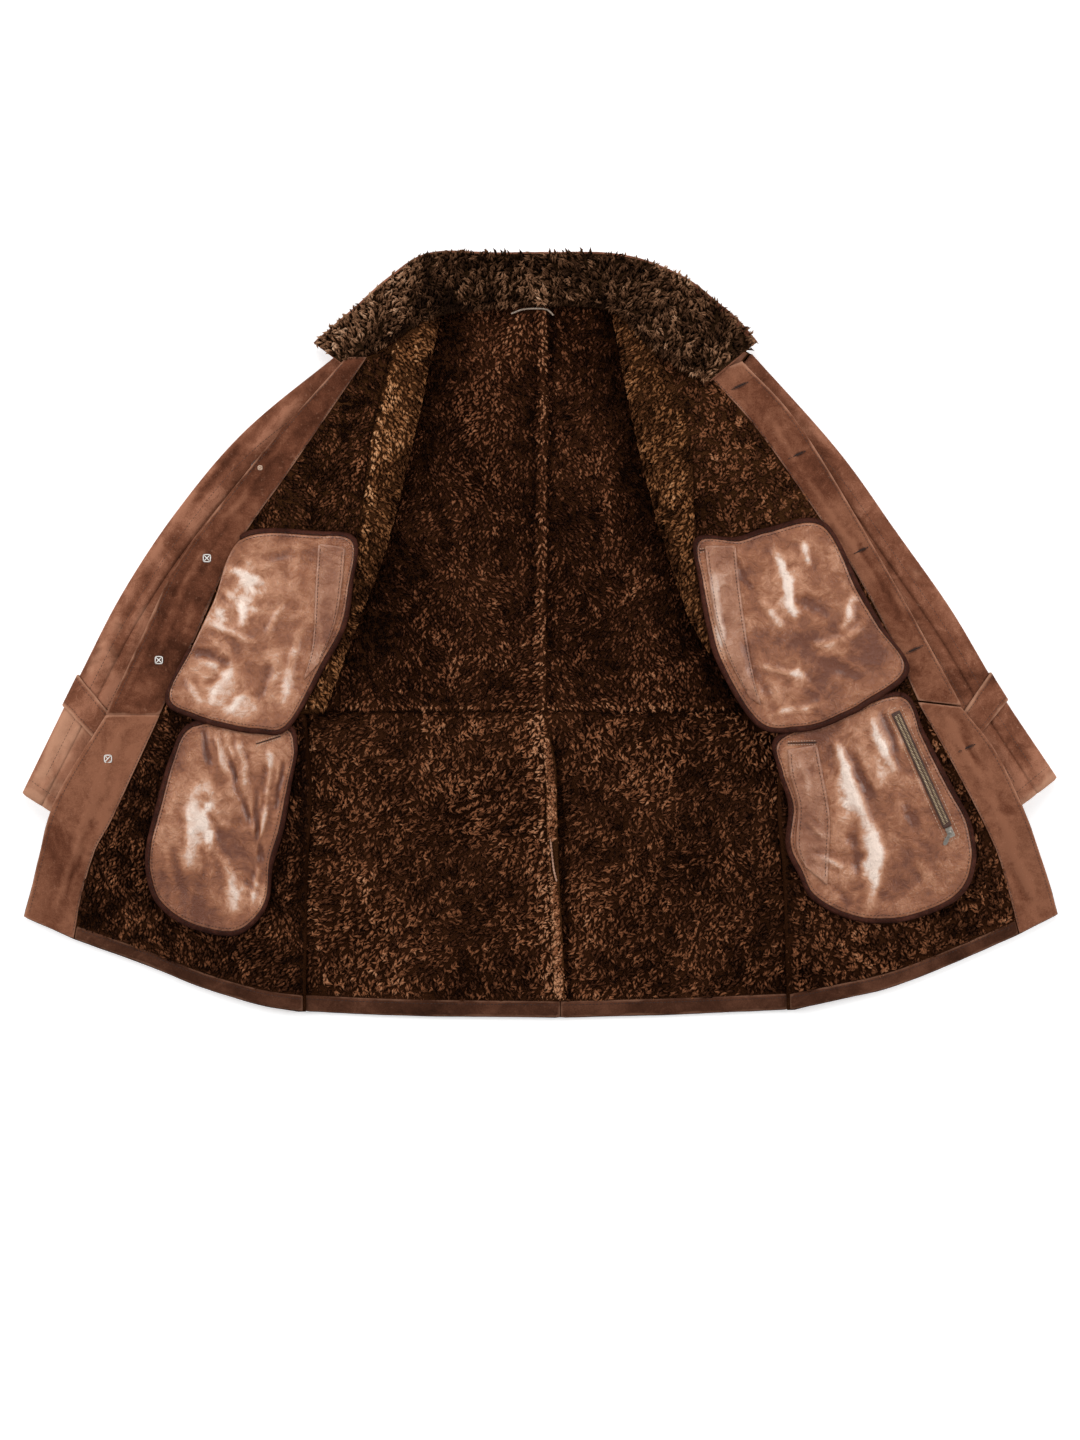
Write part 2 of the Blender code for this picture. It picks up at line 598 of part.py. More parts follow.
def box_mesh(bm, size, middle, frame):
    made = bmesh.ops.create_cube(bm, size=1.0)["verts"]
    bmesh.ops.scale(bm, vec=Vector(size) / 1000, verts=made)
    bmesh.ops.transform(bm, matrix=frame @ Matrix.Translation(Vector(middle) / 1000), verts=made)
    return made


def helper(name, bm, location, guide=True):
    mesh = bpy.data.meshes.new(name)
    bm.to_mesh(mesh)
    bm.free()
    obj = bpy.data.objects.new(name, mesh)
    obj.location = location
    bpy.context.scene.collection.objects.link(obj)
    if guide:
        obj.hide_render = True
        obj.display_type = "WIRE"
    return obj


def combine(target, tool, operation):
    step = target.modifiers.new(tool.name, "BOOLEAN")
    step.operation = operation
    step.object = tool
    step.solver = "EXACT"


def build_zip(bag):
    """Zip on the lower right pocket: tape, slider with two ears and a pin, and the hinged pull tab."""
    top, end = np.array(ZIP_TOP, float), np.array(ZIP_END, float)
    along = (end - top) / np.linalg.norm(end - top)
    across = np.array([along[1], -along[0]])
    stop = end - along * 7.5
    build_strip("zip_tape", "tape", [tuple(top - across * 5.5), tuple(stop - across * 5.5)],
                [tuple(top + across * 5.5), tuple(stop + across * 5.5)], [bag], 1.6, rows=9)
    seat = height_under(*end, [bag], 7.5) + 0.4
    pin_up = 5.6
    axis_up = np.array([0, 0, 1.0])
    pull = np.array([*PULL_DIRECTION, 0.0])
    pull /= np.linalg.norm(pull)
    hinge = np.cross(pull, axis_up)
    frame = Matrix((hinge, pull, axis_up)).transposed().to_4x4()
    zip_frame = Matrix(((*across, 0), (*along, 0), (0, 0, 1))).transposed().to_4x4()
    place = Vector(to_world((*end, seat)))

    bm = bmesh.new()
    body = box_mesh(bm, (8.4, 13.0, 3.0), (0, 0, 1.5), zip_frame)
    bmesh.ops.bevel(bm, geom=list({e for v in body for e in v.link_edges}), offset=0.0007, segments=1,
                    affect="EDGES")
    slider = helper("zip_slider", bm, place, guide=False)
    slider.data.materials.append(own_material("zip_slider", "metal"))
    for k, at in enumerate((-2.6, 2.6)):
        bm = bmesh.new()
        ear = box_mesh(bm, (1.2, 3.4, 5.0), (at, 0, 4.7), frame)
        combine(slider, helper("slider_ear_" + str(k), bm, place), "UNION")
    bm = bmesh.new()
    bmesh.ops.create_cone(bm, segments=12, radius1=0.0008, radius2=0.0008, depth=0.0062, cap_ends=True)
    bmesh.ops.transform(bm, verts=bm.verts[:],
                        matrix=frame @ Matrix.Translation((0, 0, pin_up / 1000)) @ Matrix.Rotation(math.pi / 2, 4, "Y"))
    combine(slider, helper("slider_pin", bm, place), "UNION")

    pivot = place + Vector((0, 0, pin_up / 1000))
    droop = Matrix.Rotation(math.radians(-PULL_DROOP), 4, "X")
    tab_frame = frame @ droop
    bm = bmesh.new()
    outline = [(-1.7, -1.7), (-1.9, 0.0), (-1.9, 4.0), (-2.4, 9.0), (-2.6, 15.0), (-1.8, PULL_LENGTH - 3),
               (0, PULL_LENGTH - 2), (1.8, PULL_LENGTH - 3), (2.6, 15.0), (2.4, 9.0), (1.9, 4.0), (1.9, 0.0),
               (1.7, -1.7)]
    for thick_from, thick_to, shape in ((-0.7, 0.7, outline),):
        low = [bm.verts.new(Vector((x, y, thick_from)) / 1000) for x, y in shape]
        high = [bm.verts.new(Vector((x, y, thick_to)) / 1000) for x, y in shape]
        bm.faces.new(low[::-1])
        bm.faces.new(high)
        for k in range(len(shape)):
            m = (k + 1) % len(shape)
            bm.faces.new((low[k], low[m], high[m], high[k]))
    bmesh.ops.transform(bm, matrix=tab_frame, verts=bm.verts[:])
    tab = helper("zip_pull", bm, pivot, guide=False)
    tab.data.materials.append(own_material("zip_pull", "metal"))
    turn = Matrix.Rotation(math.pi / 2, 4, "Y")
    for label, radius, width, operation in (("pull_eye", 2.1, 3.4, "UNION"), ("pull_bore", 1.15, 6.0, "DIFFERENCE")):
        bm = bmesh.new()
        bmesh.ops.create_cone(bm, segments=14, radius1=radius / 1000, radius2=radius / 1000, depth=width / 1000,
                              cap_ends=True)
        bmesh.ops.transform(bm, matrix=tab_frame @ turn, verts=bm.verts[:])
        combine(tab, helper(label, bm, pivot), operation)
    return pivot, hinge


def build_coat():
    clear_scene()
    build_back("left", LEFT, BACK_TOP_LEFT, BACK_HEM_LEFT)
    build_back("right", RIGHT, BACK_TOP_RIGHT, BACK_HEM_RIGHT)
    for name, side in (("hem_back_left", "left"), ("hem_back_right", "right")):
        add_hem(name, "back_skirt_" + side, slice(0, 7))
    for side, rails in (("left", LEFT), ("right", RIGHT)):
        skins = build_sleeve(side, rails)
        build_strap(side, skins)
    base = ["back_upper_left", "back_upper_right", "back_skirt_left", "back_skirt_right"]
    sleeves = {side: ["sleeve_over_" + side, "sleeve_under_" + side, "cuff_strap_" + side] for side in ("left", "right")}
    for index, (x, y) in enumerate(BUTTONS, start=1):
        build_button(index, x, y, sleeves["left"])
    buttons = ["button_" + str(k) for k in range(1, len(BUTTONS) + 1)]
    for side, rails in (("left", LEFT), ("right", RIGHT)):
        below = base + sleeves[side] + (buttons if side == "left" else [])
        build_side_front(side, rails, sleeves[side] + ["back_upper_" + side])
        build_front(side, rails, below)
    vent_left = [(x - 8, y - 30 if k == 0 else y + (HEM_DEPTH + 4 if k == 5 else 0)) for k, (x, y) in enumerate(VENT)]
    vent_right = [(x + 12, y) for x, y in vent_left]
    build_strip("vent_edge", "suede", vent_left, vent_right, ["back_skirt_left", "back_skirt_right"], 2.4, rows=9)
    build_pockets()
    build_collar(base + sleeves["left"] + sleeves["right"] + [stem + side for side in ("left", "right") for stem in
                 ("side_front_", "front_upper_", "facing_upper_")])
    build_loop(["back_upper_left", "back_upper_right"])
    build_zip("pocket_lower_right")


def build_pockets():
    under = {}
    for side in ("left", "right"):
        under[side] = [stem + side for stem in ("front_upper_", "front_skirt_", "side_front_", "facing_upper_",
                                                "facing_lower_", "back_skirt_", "back_upper_")]
    build_bag("pocket_lower_left", BAG_LOWER_LEFT, under["left"], 3.0)
    build_bag("pocket_lower_right", BAG_LOWER_RIGHT, under["right"], 3.0)
    for side, outline, bound in (("left", BAG_UPPER_LEFT, (0.0, 0.8)), ("right", BAG_UPPER_RIGHT, (0.0, 1.0))):
        below = under[side] + ["pocket_lower_" + side, "pocket_lower_" + side + "_binding"]
        build_bag("pocket_upper_" + side, outline, below, 2.0, bound)
    build_strip("pocket_facing_upper_left", "leather", [(-280, 583), (-283, 533), (-287, 460), (-298, 416)],
                [(-248, 578), (-252, 533), (-260, 486), (-280, 436)], ["pocket_upper_left"], 1.2)
    build_strip("pocket_facing_upper_right", "leather", [(194, 580), (199, 538), (208, 484), (224, 440), (248, 395)],
                [(231, 580), (236, 530), (245, 465), (255, 411), (262, 385)], ["pocket_upper_right"], 1.2)
    build_strip("pocket_facing_lower_right", "leather", [(296, 330), (299, 300), (309, 261), (307, 212), (318, 186)],
                [(331, 336), (338, 300), (347, 247), (346, 200), (344, 164)], ["pocket_lower_right"], 1.2)


build_coat()
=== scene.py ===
"""Shearling coat laid open on its back: cloth skins, fleece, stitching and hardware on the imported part.

Tables are in garment millimetres, x from the centre back seam and y from the hem line, as the
pattern is drafted. Meshes are in metres in the part's own frame.
"""

import math

import bpy
import numpy as np
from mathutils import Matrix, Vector
from mathutils.bvhtree import BVHTree


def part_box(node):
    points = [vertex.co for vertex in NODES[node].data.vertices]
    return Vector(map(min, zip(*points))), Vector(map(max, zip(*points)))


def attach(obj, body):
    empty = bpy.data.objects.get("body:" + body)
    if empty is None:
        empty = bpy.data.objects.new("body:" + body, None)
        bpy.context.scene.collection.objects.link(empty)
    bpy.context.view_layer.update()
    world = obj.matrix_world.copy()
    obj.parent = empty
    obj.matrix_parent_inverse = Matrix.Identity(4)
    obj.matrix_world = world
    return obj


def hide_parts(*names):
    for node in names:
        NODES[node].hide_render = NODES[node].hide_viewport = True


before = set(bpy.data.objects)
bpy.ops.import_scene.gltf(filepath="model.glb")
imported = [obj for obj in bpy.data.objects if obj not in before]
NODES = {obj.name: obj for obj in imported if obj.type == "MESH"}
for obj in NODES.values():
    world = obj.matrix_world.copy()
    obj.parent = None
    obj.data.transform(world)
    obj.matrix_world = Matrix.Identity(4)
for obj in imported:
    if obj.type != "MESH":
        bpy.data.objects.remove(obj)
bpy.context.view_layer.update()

CENTRE_SEAM_X = 8.55
HALF_LENGTH = 472.2
HEM_DEPTH = 18.0
SKIRT_LENGTH = 372
HEM_SHARE = 1 - HEM_DEPTH / SKIRT_LENGTH  # where the turned hem starts down a skirt
SLEEVE_WALL = 7.0
SLEEVE_STATIONS = 110
SLEEVE_SEAMS = (124, 484)  # degrees round the tube
COLLAR_LAP = 3.0  # how far the collar's inner edge reaches down over the neck
ROLL_LEG = 8.8 + 4.5  # height of the lower leg of the roll at a front's fold
ROLL_TOP = 32.2  # least height of its upper leg
ROLL_INSET = 15.5  # from the fold in to the middle of its bend
ROLL_BEND = 11.0  # how far the bend reaches out from there
SEAM = 0.42
PILE_SUNK = 3.6  # hide below the tips of the fleece
COLLAR_SUNK = 6.5
BINDING_WIDTH = 5.0

# Each side's rails, from the shoulder down.
LEFT = {
    "armhole": [(-252, 820), (-216, 768), (-206, 699), (-230, 622), (-284, 557)],
    "side_seam": [(-284, 557), (-293, 465), (-300, 376)],
    "fold": [(-132, 867), (-166, 715), (-200, 576), (-240, 471), (-274, 376)],
    "strip_seam": [(-189, 828), (-216, 711), (-234, 588), (-266, 483), (-318, 376)],
    "facing_edge": [(-222, 812), (-316, 674), (-383, 576), (-433, 465), (-476, 373)],
    "front_edge": [(-246, 812), (-351, 692), (-449, 563), (-501, 459), (-541, 373)],
    "skirt_side": [(-300, 376), (-293, 283), (-298, 175), (-300, 41), (-300, 8)],
    "skirt_facing": [(-476, 372), (-531, 252), (-555, 208), (-574, 151), (-585, 98)],
    "skirt_edge": [(-541, 372), (-601, 273), (-624, 200), (-636, 155), (-645, 124)],
    "hem": [(-300, 8), (-353, 16), (-427, 38), (-501, 68), (-585, 98)],
    "sleeve_outer": [(-256, 822), (-373, 723), (-456, 625), (-522, 526), (-573, 428), (-647, 277)],
    "sleeve_inner": [(-284, 549), (-360, 428), (-436, 312), (-514, 196)],
    "back_top": [(-252, 820), (-150, 866), (0, 886)],
    "back_hem": [(-300, 8), (-169, 2), (17, 0)],
}
RIGHT = {
    "armhole": [(250, 818), (214, 768), (203, 699), (228, 622), (281, 557)],
    "side_seam": [(281, 557), (288, 465), (293, 376)],
    "fold": [(81, 870), (112, 711), (151, 566), (190, 467), (262, 378)],
    "strip_seam": [(133, 819), (173, 732), (184, 594), (213, 477), (303, 379)],
    "facing_edge": [(199, 791), (262, 720), (360, 578), (410, 492), (456, 391)],
    "front_edge": [(240, 807), (311, 727), (410, 563), (465, 465), (508, 385)],
    "skirt_side": [(293, 376), (287, 262), (294, 175), (298, 41), (299, 10)],
    "skirt_facing": [(456, 388), (498, 314), (545, 224), (564, 175), (584, 104)],
    "skirt_edge": [(508, 382), (549, 330), (583, 261), (614, 180), (630, 127)],
    "hem": [(299, 10), (348, 20), (422, 37), (496, 65), (584, 104)],
    "sleeve_outer": [(252, 821), (359, 699), (430, 600), (499, 502), (558, 403), (629, 296)],
    "sleeve_inner": [(281, 549), (352, 431), (424, 313), (494, 196)],
    "back_top": [(250, 818), (128, 862), (0, 886)],
    "back_hem": [(299, 10), (164, 4), (17, 0)],
}
SIDES = {"left": LEFT, "right": RIGHT}
CENTRE_SEAM = [(0, 886), (-1, 699), (-1, 563), (-1, 376)]
VENT = [(-1, 376), (6, 311), (8, 248), (10, 183), (15, 87), (17, 0)]
COLLAR_INNER = [(-250, 806), (-199, 832), (-150, 862), (-101, 876), (0, 883), (77, 876), (118, 838),
                (156, 810),
                (200, 786)]
COLLAR_OUTER = [(-287, 832), (-240, 870), (-196, 910), (-144, 942), (-60, 942), (80, 941), (160, 916),
                (219, 872),
                (258, 832)]
SLEEVE_HEIGHTS = [(0.0, 25.0), (0.15, 29.0), (0.45, 31.0), (0.8, 29.0), (1.0, 30.0)]

# Outlines of the pocket bags, clockwise from the upper outer corner.
BAGS = {
    "upper_left": [(-375, 593), (-280, 597), (-235, 588), (-239, 533), (-248, 481), (-273, 433), (-317, 357),
                   (-353, 351), (-392, 357), (-433, 369), (-467, 392), (-440, 453), (-413, 513)],
    "upper_right": [(339, 609), (269, 601), (232, 590), (183, 589), (187, 538), (197, 481), (209, 439),
                    (241, 381),
                    (269, 354), (308, 353), (336, 358), (364, 370), (392, 385), (443, 427), (411, 481),
                    (385, 526)],
    "lower_left": [(-437, 362), (-461, 321), (-481, 252), (-491, 209), (-491, 177), (-481, 145), (-456, 121),
                   (-424, 107), (-385, 102), (-359, 118), (-343, 145), (-338, 188), (-325, 232), (-315, 287),
                   (-307, 335), (-319, 362), (-370, 368)],
    "lower_right": [(434, 400), (462, 351), (481, 314), (501, 276), (518, 244), (525, 212), (525, 191),
                    (518, 165),
                    (501, 145), (472, 130), (434, 119), (395, 118), (369, 124), (346, 134), (323, 151),
                    (311, 176),
                    (295, 212), (298, 261), (285, 305), (282, 345), (350, 372)],
}
BOUND = {"upper_left": 0.8, "upper_right": 1.0, "lower_left": 1.0, "lower_right": 1.0}
POCKET_FACINGS = {
    "upper_left": ([(-280, 583), (-283, 533), (-287, 460), (-298, 416)],
                   [(-248, 578), (-252, 533), (-260, 486), (-280, 436)]),
    "upper_right": ([(194, 580), (199, 538), (208, 484), (224, 440), (248, 395)],
                    [(231, 580), (236, 530), (245, 465), (255, 411), (262, 385)]),
    "lower_right": ([(296, 330), (299, 300), (309, 261), (307, 212), (318, 186)],
                    [(331, 336), (338, 300), (347, 247), (346, 200), (344, 164)]),
}
SIDE_SEAM_FOOT = 7.8  # height at which a front skirt's turned edge meets the back
# Tone of each facing's suede: above 0 is lighter, below 0 darker. It changes no height. The darker upper left
# facing is painted shade, where it lies beside the sleeve's bulge.
FACING_SHADE = {"facing_upper_left": -1.2, "facing_lower_left": 1.0, "facing_upper_right": 1.0,
                "facing_lower_right": 1.2}
SLITS = [((187, 574), (208, 578)), ((-357, 337), (-325, 347)), ((295, 338), (331, 339))]
ZIP_TOP = (427, 376)
ZIP_END = (494, 229)
THREAD_MARKS = [(-417, 565), (-476, 440), (-538, 319)]
FAINT_MARKS = [(-352, 676)]
BUTTONHOLES = [(237, 777), (307, 692), (384, 574), (451, 453), (515, 332)]

# Creases of each piece: from, to, width, height. Valleys are negative.
FOLDS = {
    "upper_left": [
        (-401, 556, -344, 533, 7, 1.6), (-368, 513, -374, 480, 9, 2.0), (-417, 486, -358, 462, 9, 1.8),
        (-434, 453, -391, 439, 11, -2.4), (-391, 439, -417, 406, 10, -2.0), (-444, 419, -424, 386, 7, 1.8),
        (-368, 400, -391, 379, 7, 1.5), (-321, 513, -341, 472, 7, 1.2), (-351, 563, -304, 573, 9, -1.2),
        (-304, 477, -322, 391, 10, 1.4), (-408, 526, -380, 507, 6, -1.3), (-341, 440, -351, 391, 11, -1.2)],
    "lower_left": [
        (-424, 359, -412, 309, 6, -3.0), (-405, 349, -397, 305, 6, 2.4), (-391, 332, -381, 287, 6, -3.2),
        (-381, 287, -365, 241, 7, -2.0), (-378, 346, -367, 279, 7, 2.4), (-434, 279, -438, 180, 14, 2.6),
        (-417, 262, -391, 196, 10, -2.0), (-464, 219, -444, 145, 9, -1.6), (-400, 225, -383, 139, 11, 1.6),
        (-358, 280, -351, 184, 6, -2.4), (-338, 336, -343, 268, 6, 2.0), (-343, 268, -355, 207, 5, 2.4),
        (-323, 317, -333, 253, 5, -2.6), (-351, 192, -363, 139, 6, 1.8), (-374, 170, -351, 151, 6, -1.6)],
    "lower_right": [
        (353, 342, 367, 298, 10, 2.6), (367, 298, 395, 232, 14, 3.0), (395, 232, 408, 181, 15, 2.6),
        (408, 181, 395, 134, 12, 2.0), (395, 373, 428, 298, 10, 2.6), (373, 330, 400, 268, 10, -2.2),
        (411, 381, 433, 327, 7, -3.0), (375, 231, 385, 170, 11, -1.8), (440, 268, 465, 207, 12, -1.4),
        (453, 197, 471, 170, 11, 1.4), (319, 244, 343, 221, 6, 1.8), (326, 197, 363, 187, 7, 1.8),
        (358, 157, 373, 139, 7, -1.6), (311, 317, 326, 268, 7, 1.2), (440, 336, 465, 268, 4, 1.0)],
    "upper_right": [
        (278, 581, 292, 546, 9, 2.0), (292, 546, 305, 488, 9, 2.2), (312, 590, 322, 554, 7, 2.0),
        (261, 515, 289, 475, 9, 1.8), (380, 526, 360, 471, 9, 2.0), (322, 458, 367, 465, 9, 1.8),
        (367, 465, 395, 496, 9, 1.6), (261, 434, 312, 421, 7, 1.8), (312, 421, 330, 403, 7, 1.4),
        (272, 373, 339, 386, 7, 1.4), (203, 550, 215, 459, 6, 2.0), (299, 514, 348, 502, 15, -1.8),
        (240, 465, 274, 391, 10, -1.4), (336, 440, 385, 416, 11, -1.2), (231, 563, 252, 526, 7, -1.4)],
    "facing_upper_left": [
        (-304, 736, -351, 674, 7, 1.4), (-351, 674, -400, 603, 7, 1.6), (-421, 578, -456, 507, 7, 1.8),
        (-456, 507, -476, 453, 7, 1.4), (-387, 622, -432, 533, 6, -1.4), (-488, 465, -525, 391, 7, 1.4),
        (-432, 514, -449, 465, 6, 1.1), (-507, 440, -535, 376, 6, -1.2)],
    "facing_lower_left": [
        (-519, 362, -555, 280, 9, 1.5), (-555, 280, -584, 194, 9, 1.6), (-584, 194, -609, 127, 9, 1.5),
        (-538, 280, -560, 231, 6, -1.4), (-569, 207, -599, 139, 6, -1.3)],
    "facing_upper_right": [
        (274, 736, 311, 674, 7, 1.5), (311, 674, 385, 563, 7, 1.5), (373, 600, 440, 483, 6, -1.3),
        (422, 526, 459, 453, 7, 1.1)],
    "facing_lower_right": [
        (483, 384, 539, 280, 9, 1.5), (539, 280, 576, 207, 9, 1.5), (563, 219, 606, 139, 10, 1.6),
        (508, 348, 539, 303, 7, -1.4), (569, 182, 594, 145, 9, -1.3)],
    "sleeve_left": [
        (-304, 760, -365, 696, 14, 2.4), (-378, 711, -439, 625, 12, -2.0), (-439, 649, -488, 563, 14, 2.2),
        (-476, 563, -538, 465, 13, -2.0), (-525, 502, -567, 403, 14, 2.2), (-574, 391, -611, 305, 12, -1.8),
        (-550, 465, -525, 403, 11, 1.6), (-599, 305, -624, 280, 9, 1.2), (-408, 692, -421, 662, 11, 1.4)],
    "sleeve_right": [
        (299, 766, 360, 692, 14, 2.2), (367, 711, 422, 631, 12, -1.8), (434, 613, 496, 514, 14, 2.0),
        (496, 526, 539, 440, 13, -1.8), (539, 453, 576, 379, 12, 1.8), (563, 354, 606, 293, 12, -1.6),
        (471, 563, 508, 490, 9, 1.4)],
}

# Painted highlights of the pocket leather, as pale patches in its colour: middle, half width, half height,
# strength.
PAINTED_HIGHLIGHTS = {
    "upper_left": [(-365, 526, 17, 32, 1.0), (-404, 512, 30, 34, 0.7), (-408, 420, 24, 26, 0.6),
                   (-385, 385, 34, 14, 0.5), (-330, 420, 14, 30, 0.35)],
    "lower_left": [(-418, 237, 12, 50, 1.0), (-384, 150, 15, 26, 0.6), (-455, 190, 10, 30, 0.3),
                   (-352, 150, 9, 18, 0.5), (-392, 330, 5, 20, 0.7)],
    "lower_right": [(367, 285, 12, 42, 0.9), (397, 185, 14, 42, 0.8), (410, 311, 10, 26, 0.7),
                    (459, 240, 10, 34, 0.35), (330, 230, 9, 34, 0.35), (490, 215, 8, 20, 0.3)],
    "upper_right": [(293, 539, 13, 46, 0.8), (305, 422, 10, 17, 0.7), (213, 490, 9, 44, 0.6),
                    (345, 452, 26, 9, 0.6), (318, 570, 7, 16, 0.6), (300, 380, 28, 6, 0.5),
                    (372, 500, 10, 20, 0.4)],
}

# Soft ridges of the fleece: line, width, height, tone. Tone is painted light on raised rows and painted shade
# on sunk rows; rows of no height only change the wool's tone.
FLEECE_RIDGES = [
    ([(-330, 790), (-255, 850), (-200, 900)], 34, 0.0, 0.40),
    ([(300, 820), (230, 890), (180, 930)], 26, 0.0, 0.34),
    ([(-150, 905), (-60, 925), (60, 925), (150, 905)], 22, 0.0, -0.14),
    ([(-6, 883), (-5, 736), (-7, 563), (-7, 384)], 5.5, 2.8, 0.42),
    ([(3, 883), (5, 736), (2, 563), (2, 384)], 3, -2.2, -0.60),
    ([(-15, 883), (-15, 736), (-17, 563), (-17, 384)], 4, -0.8, -0.20),
    ([(-8, 376), (-6, 311), (-3, 248), (-1, 183), (4, 87), (9, 18)], 11, 2.0, 0.42),
    ([(11, 342), (18, 248), (22, 183), (26, 87), (30, 18)], 4.5, -1.8, -0.60),
    ([(-304, 386), (-156, 384), (-2, 384)], 4, 1.6, 0.46),
    ([(1, 384), (188, 384), (301, 386)], 4, 1.6, 0.42),
    ([(-304, 377), (301, 377)], 2.6, -1.8, -0.50),
    # These two rows along the fronts' folds darken the back's wool: painted shadow of the folds.
    ([(-118, 867), (-150, 715), (-182, 576), (-222, 471), (-256, 376)], 20, 0.0, -0.34),
    ([(68, 870), (98, 711), (135, 566), (172, 467), (244, 378)], 20, 0.0, -0.30),
    ([(-189, 828), (-216, 711), (-234, 588)], 2.6, -1.6, -0.60),
    ([(-183, 828), (-210, 711), (-228, 588)], 4, 1.2, 0.35),
    ([(133, 819), (173, 732), (184, 594)], 3.0, -1.2, -0.30),
    ([(-262, 700), (-290, 640), (-330, 590)], 22, 2.2, 0.16),
    ([(-228, 760), (-262, 690), (-290, 610)], 10, -1.8, -0.20),
    ([(-60, 830), (-78, 760), (-70, 700)], 22, 0.6, 0.20),
    ([(-205, 330), (-196, 250), (-206, 120)], 12, -1.0, -0.12),
    ([(47, 883), (79, 822), (107, 769)], 12, 1.6, 0.12),
    ([(59, 710), (79, 637), (86, 569)], 12, 1.6, 0.12),
    ([(-141, 694), (-166, 649), (-173, 585)], 12, 1.6, 0.15),
    ([(-95, 514), (-105, 453), (-95, 391)], 14, 1.0, 0.06),
    ([(-300, 364), (-300, 194), (-301, 22)], 4, -1.0, -0.30),
    ([(293, 336), (296, 194), (299, 22)], 4, -1.0, -0.30),
    ([(-205, 317), (-228, 207), (-240, 71)], 16, 1.5, 0.08),
    ([(114, 330), (133, 207), (127, 84)], 16, 1.5, 0.08),
    ([(-119, 354), (-113, 268), (-122, 182)], 12, -1.1, -0.08),
    ([(190, 330), (205, 230), (198, 120)], 14, -1.0, -0.06),
]

# Cut size of each piece, in metres: width, length and flat area.
CUT = {
    "back_upper_left": (0.290, 0.510, 0.1327), "back_upper_right": (0.287, 0.510, 0.1305),
    "back_skirt_left": (0.318, 0.384, 0.1214), "back_skirt_right": (0.305, 0.383, 0.1117),
    "front_upper_left": (0.205, 0.567, 0.0796), "front_upper_right": (0.214, 0.564, 0.0844),
    "front_skirt_left": (0.380, 0.397, 0.1037), "front_skirt_right": (0.350, 0.361, 0.1013),
    "side_front_left": (0.165, 0.523, 0.0503), "side_front_right": (0.205, 0.536, 0.0733),
    "sleeve_over_left": (0.236, 0.668, 0.1381), "sleeve_over_right": (0.214, 0.656, 0.1202),
    "sleeve_under_left": (0.165, 0.645, 0.0922), "sleeve_under_right": (0.150, 0.636, 0.0806),
    "facing_upper_left": (0.079, 0.541, 0.0244), "facing_upper_right": (0.060, 0.508, 0.0202),
    "facing_lower_left": (0.083, 0.294, 0.0192), "facing_lower_right": (0.066, 0.311, 0.0155),
    "hem_back_left": (0.022, 0.318, 0.0068), "hem_back_right": (0.021, 0.283, 0.0058),
    "hem_front_left": (0.027, 0.305, 0.0055), "hem_front_right": (0.029, 0.310, 0.0057),
    "cuff_strap_left": (0.044, 0.128, 0.0051), "cuff_strap_right": (0.042, 0.124, 0.0047),
    "collar": (0.090, 0.640, 0.0456), "vent_edge": (0.014, 0.372, 0.0046),
    "pocket_upper_left": (0.172, 0.285, 0.0376), "pocket_upper_right": (0.209, 0.280, 0.0439),
    "pocket_lower_left": (0.151, 0.262, 0.0356), "pocket_lower_right": (0.208, 0.265, 0.0479),
    "pocket_upper_left_binding": (0.0125, 0.600, 0.0057),
    "pocket_upper_right_binding": (0.0125, 0.760, 0.0076),
    "pocket_lower_left_binding": (0.0125, 0.690, 0.0068),
    "pocket_lower_right_binding": (0.0125, 0.790, 0.0079),
    "pocket_facing_upper_left": (0.032, 0.165, 0.0040), "pocket_facing_upper_right": (0.037, 0.205, 0.0058),
    "pocket_facing_lower_right": (0.038, 0.172, 0.0060), "zip_tape": (0.0125, 0.154, 0.0019),
}


# ---------------------------------------------------------------- measuring and meshing


def to_world(points):
    """Garment millimetres to metres about the middle of the coat."""
    world = np.array(points, float)
    world[..., 0] += CENTRE_SEAM_X
    world[..., 1] -= HALF_LENGTH
    return world / 1000.0


def even(count):
    return np.linspace(0, 1, count)


def spline(points, samples):
    """Evenly spaced points of a Catmull-Rom curve through the given ones."""
    given = np.array(points, float)
    ends = np.vstack([2 * given[0] - given[1], given, 2 * given[-1] - given[-2]])
    t = np.linspace(0, 1, 16, endpoint=False)[:, None]
    fine = []
    for k in range(len(given) - 1):
        a, b, c, d = ends[k : k + 4]
        fine.append(0.5 * (2 * b + (c - a) * t + (2 * a - 5 * b + 4 * c - d) * t**2
                           + (3 * b - a - 3 * c + d) * t**3))
    fine = np.vstack(fine + [given[-1:]])
    length = np.r_[0, np.cumsum(np.linalg.norm(np.diff(fine, axis=0), axis=1))]
    where = np.array(samples) * length[-1]
    return np.stack([np.interp(where, length, fine[:, axis]) for axis in range(fine.shape[1])], axis=1)


def closed_spline(points, count):
    ring = list(points)
    wrapped = spline(ring[-2:] + ring + ring[:3], np.linspace(0, 1, 600))
    start = np.argmin(np.linalg.norm(wrapped[:300] - ring[0], axis=1))
    end = 300 + np.argmin(np.linalg.norm(wrapped[300:] - ring[0], axis=1))
    return spline(wrapped[start : end + 1 : 4].tolist() + [wrapped[end].tolist()],
                  np.linspace(0, 1, count + 1))[:-1]


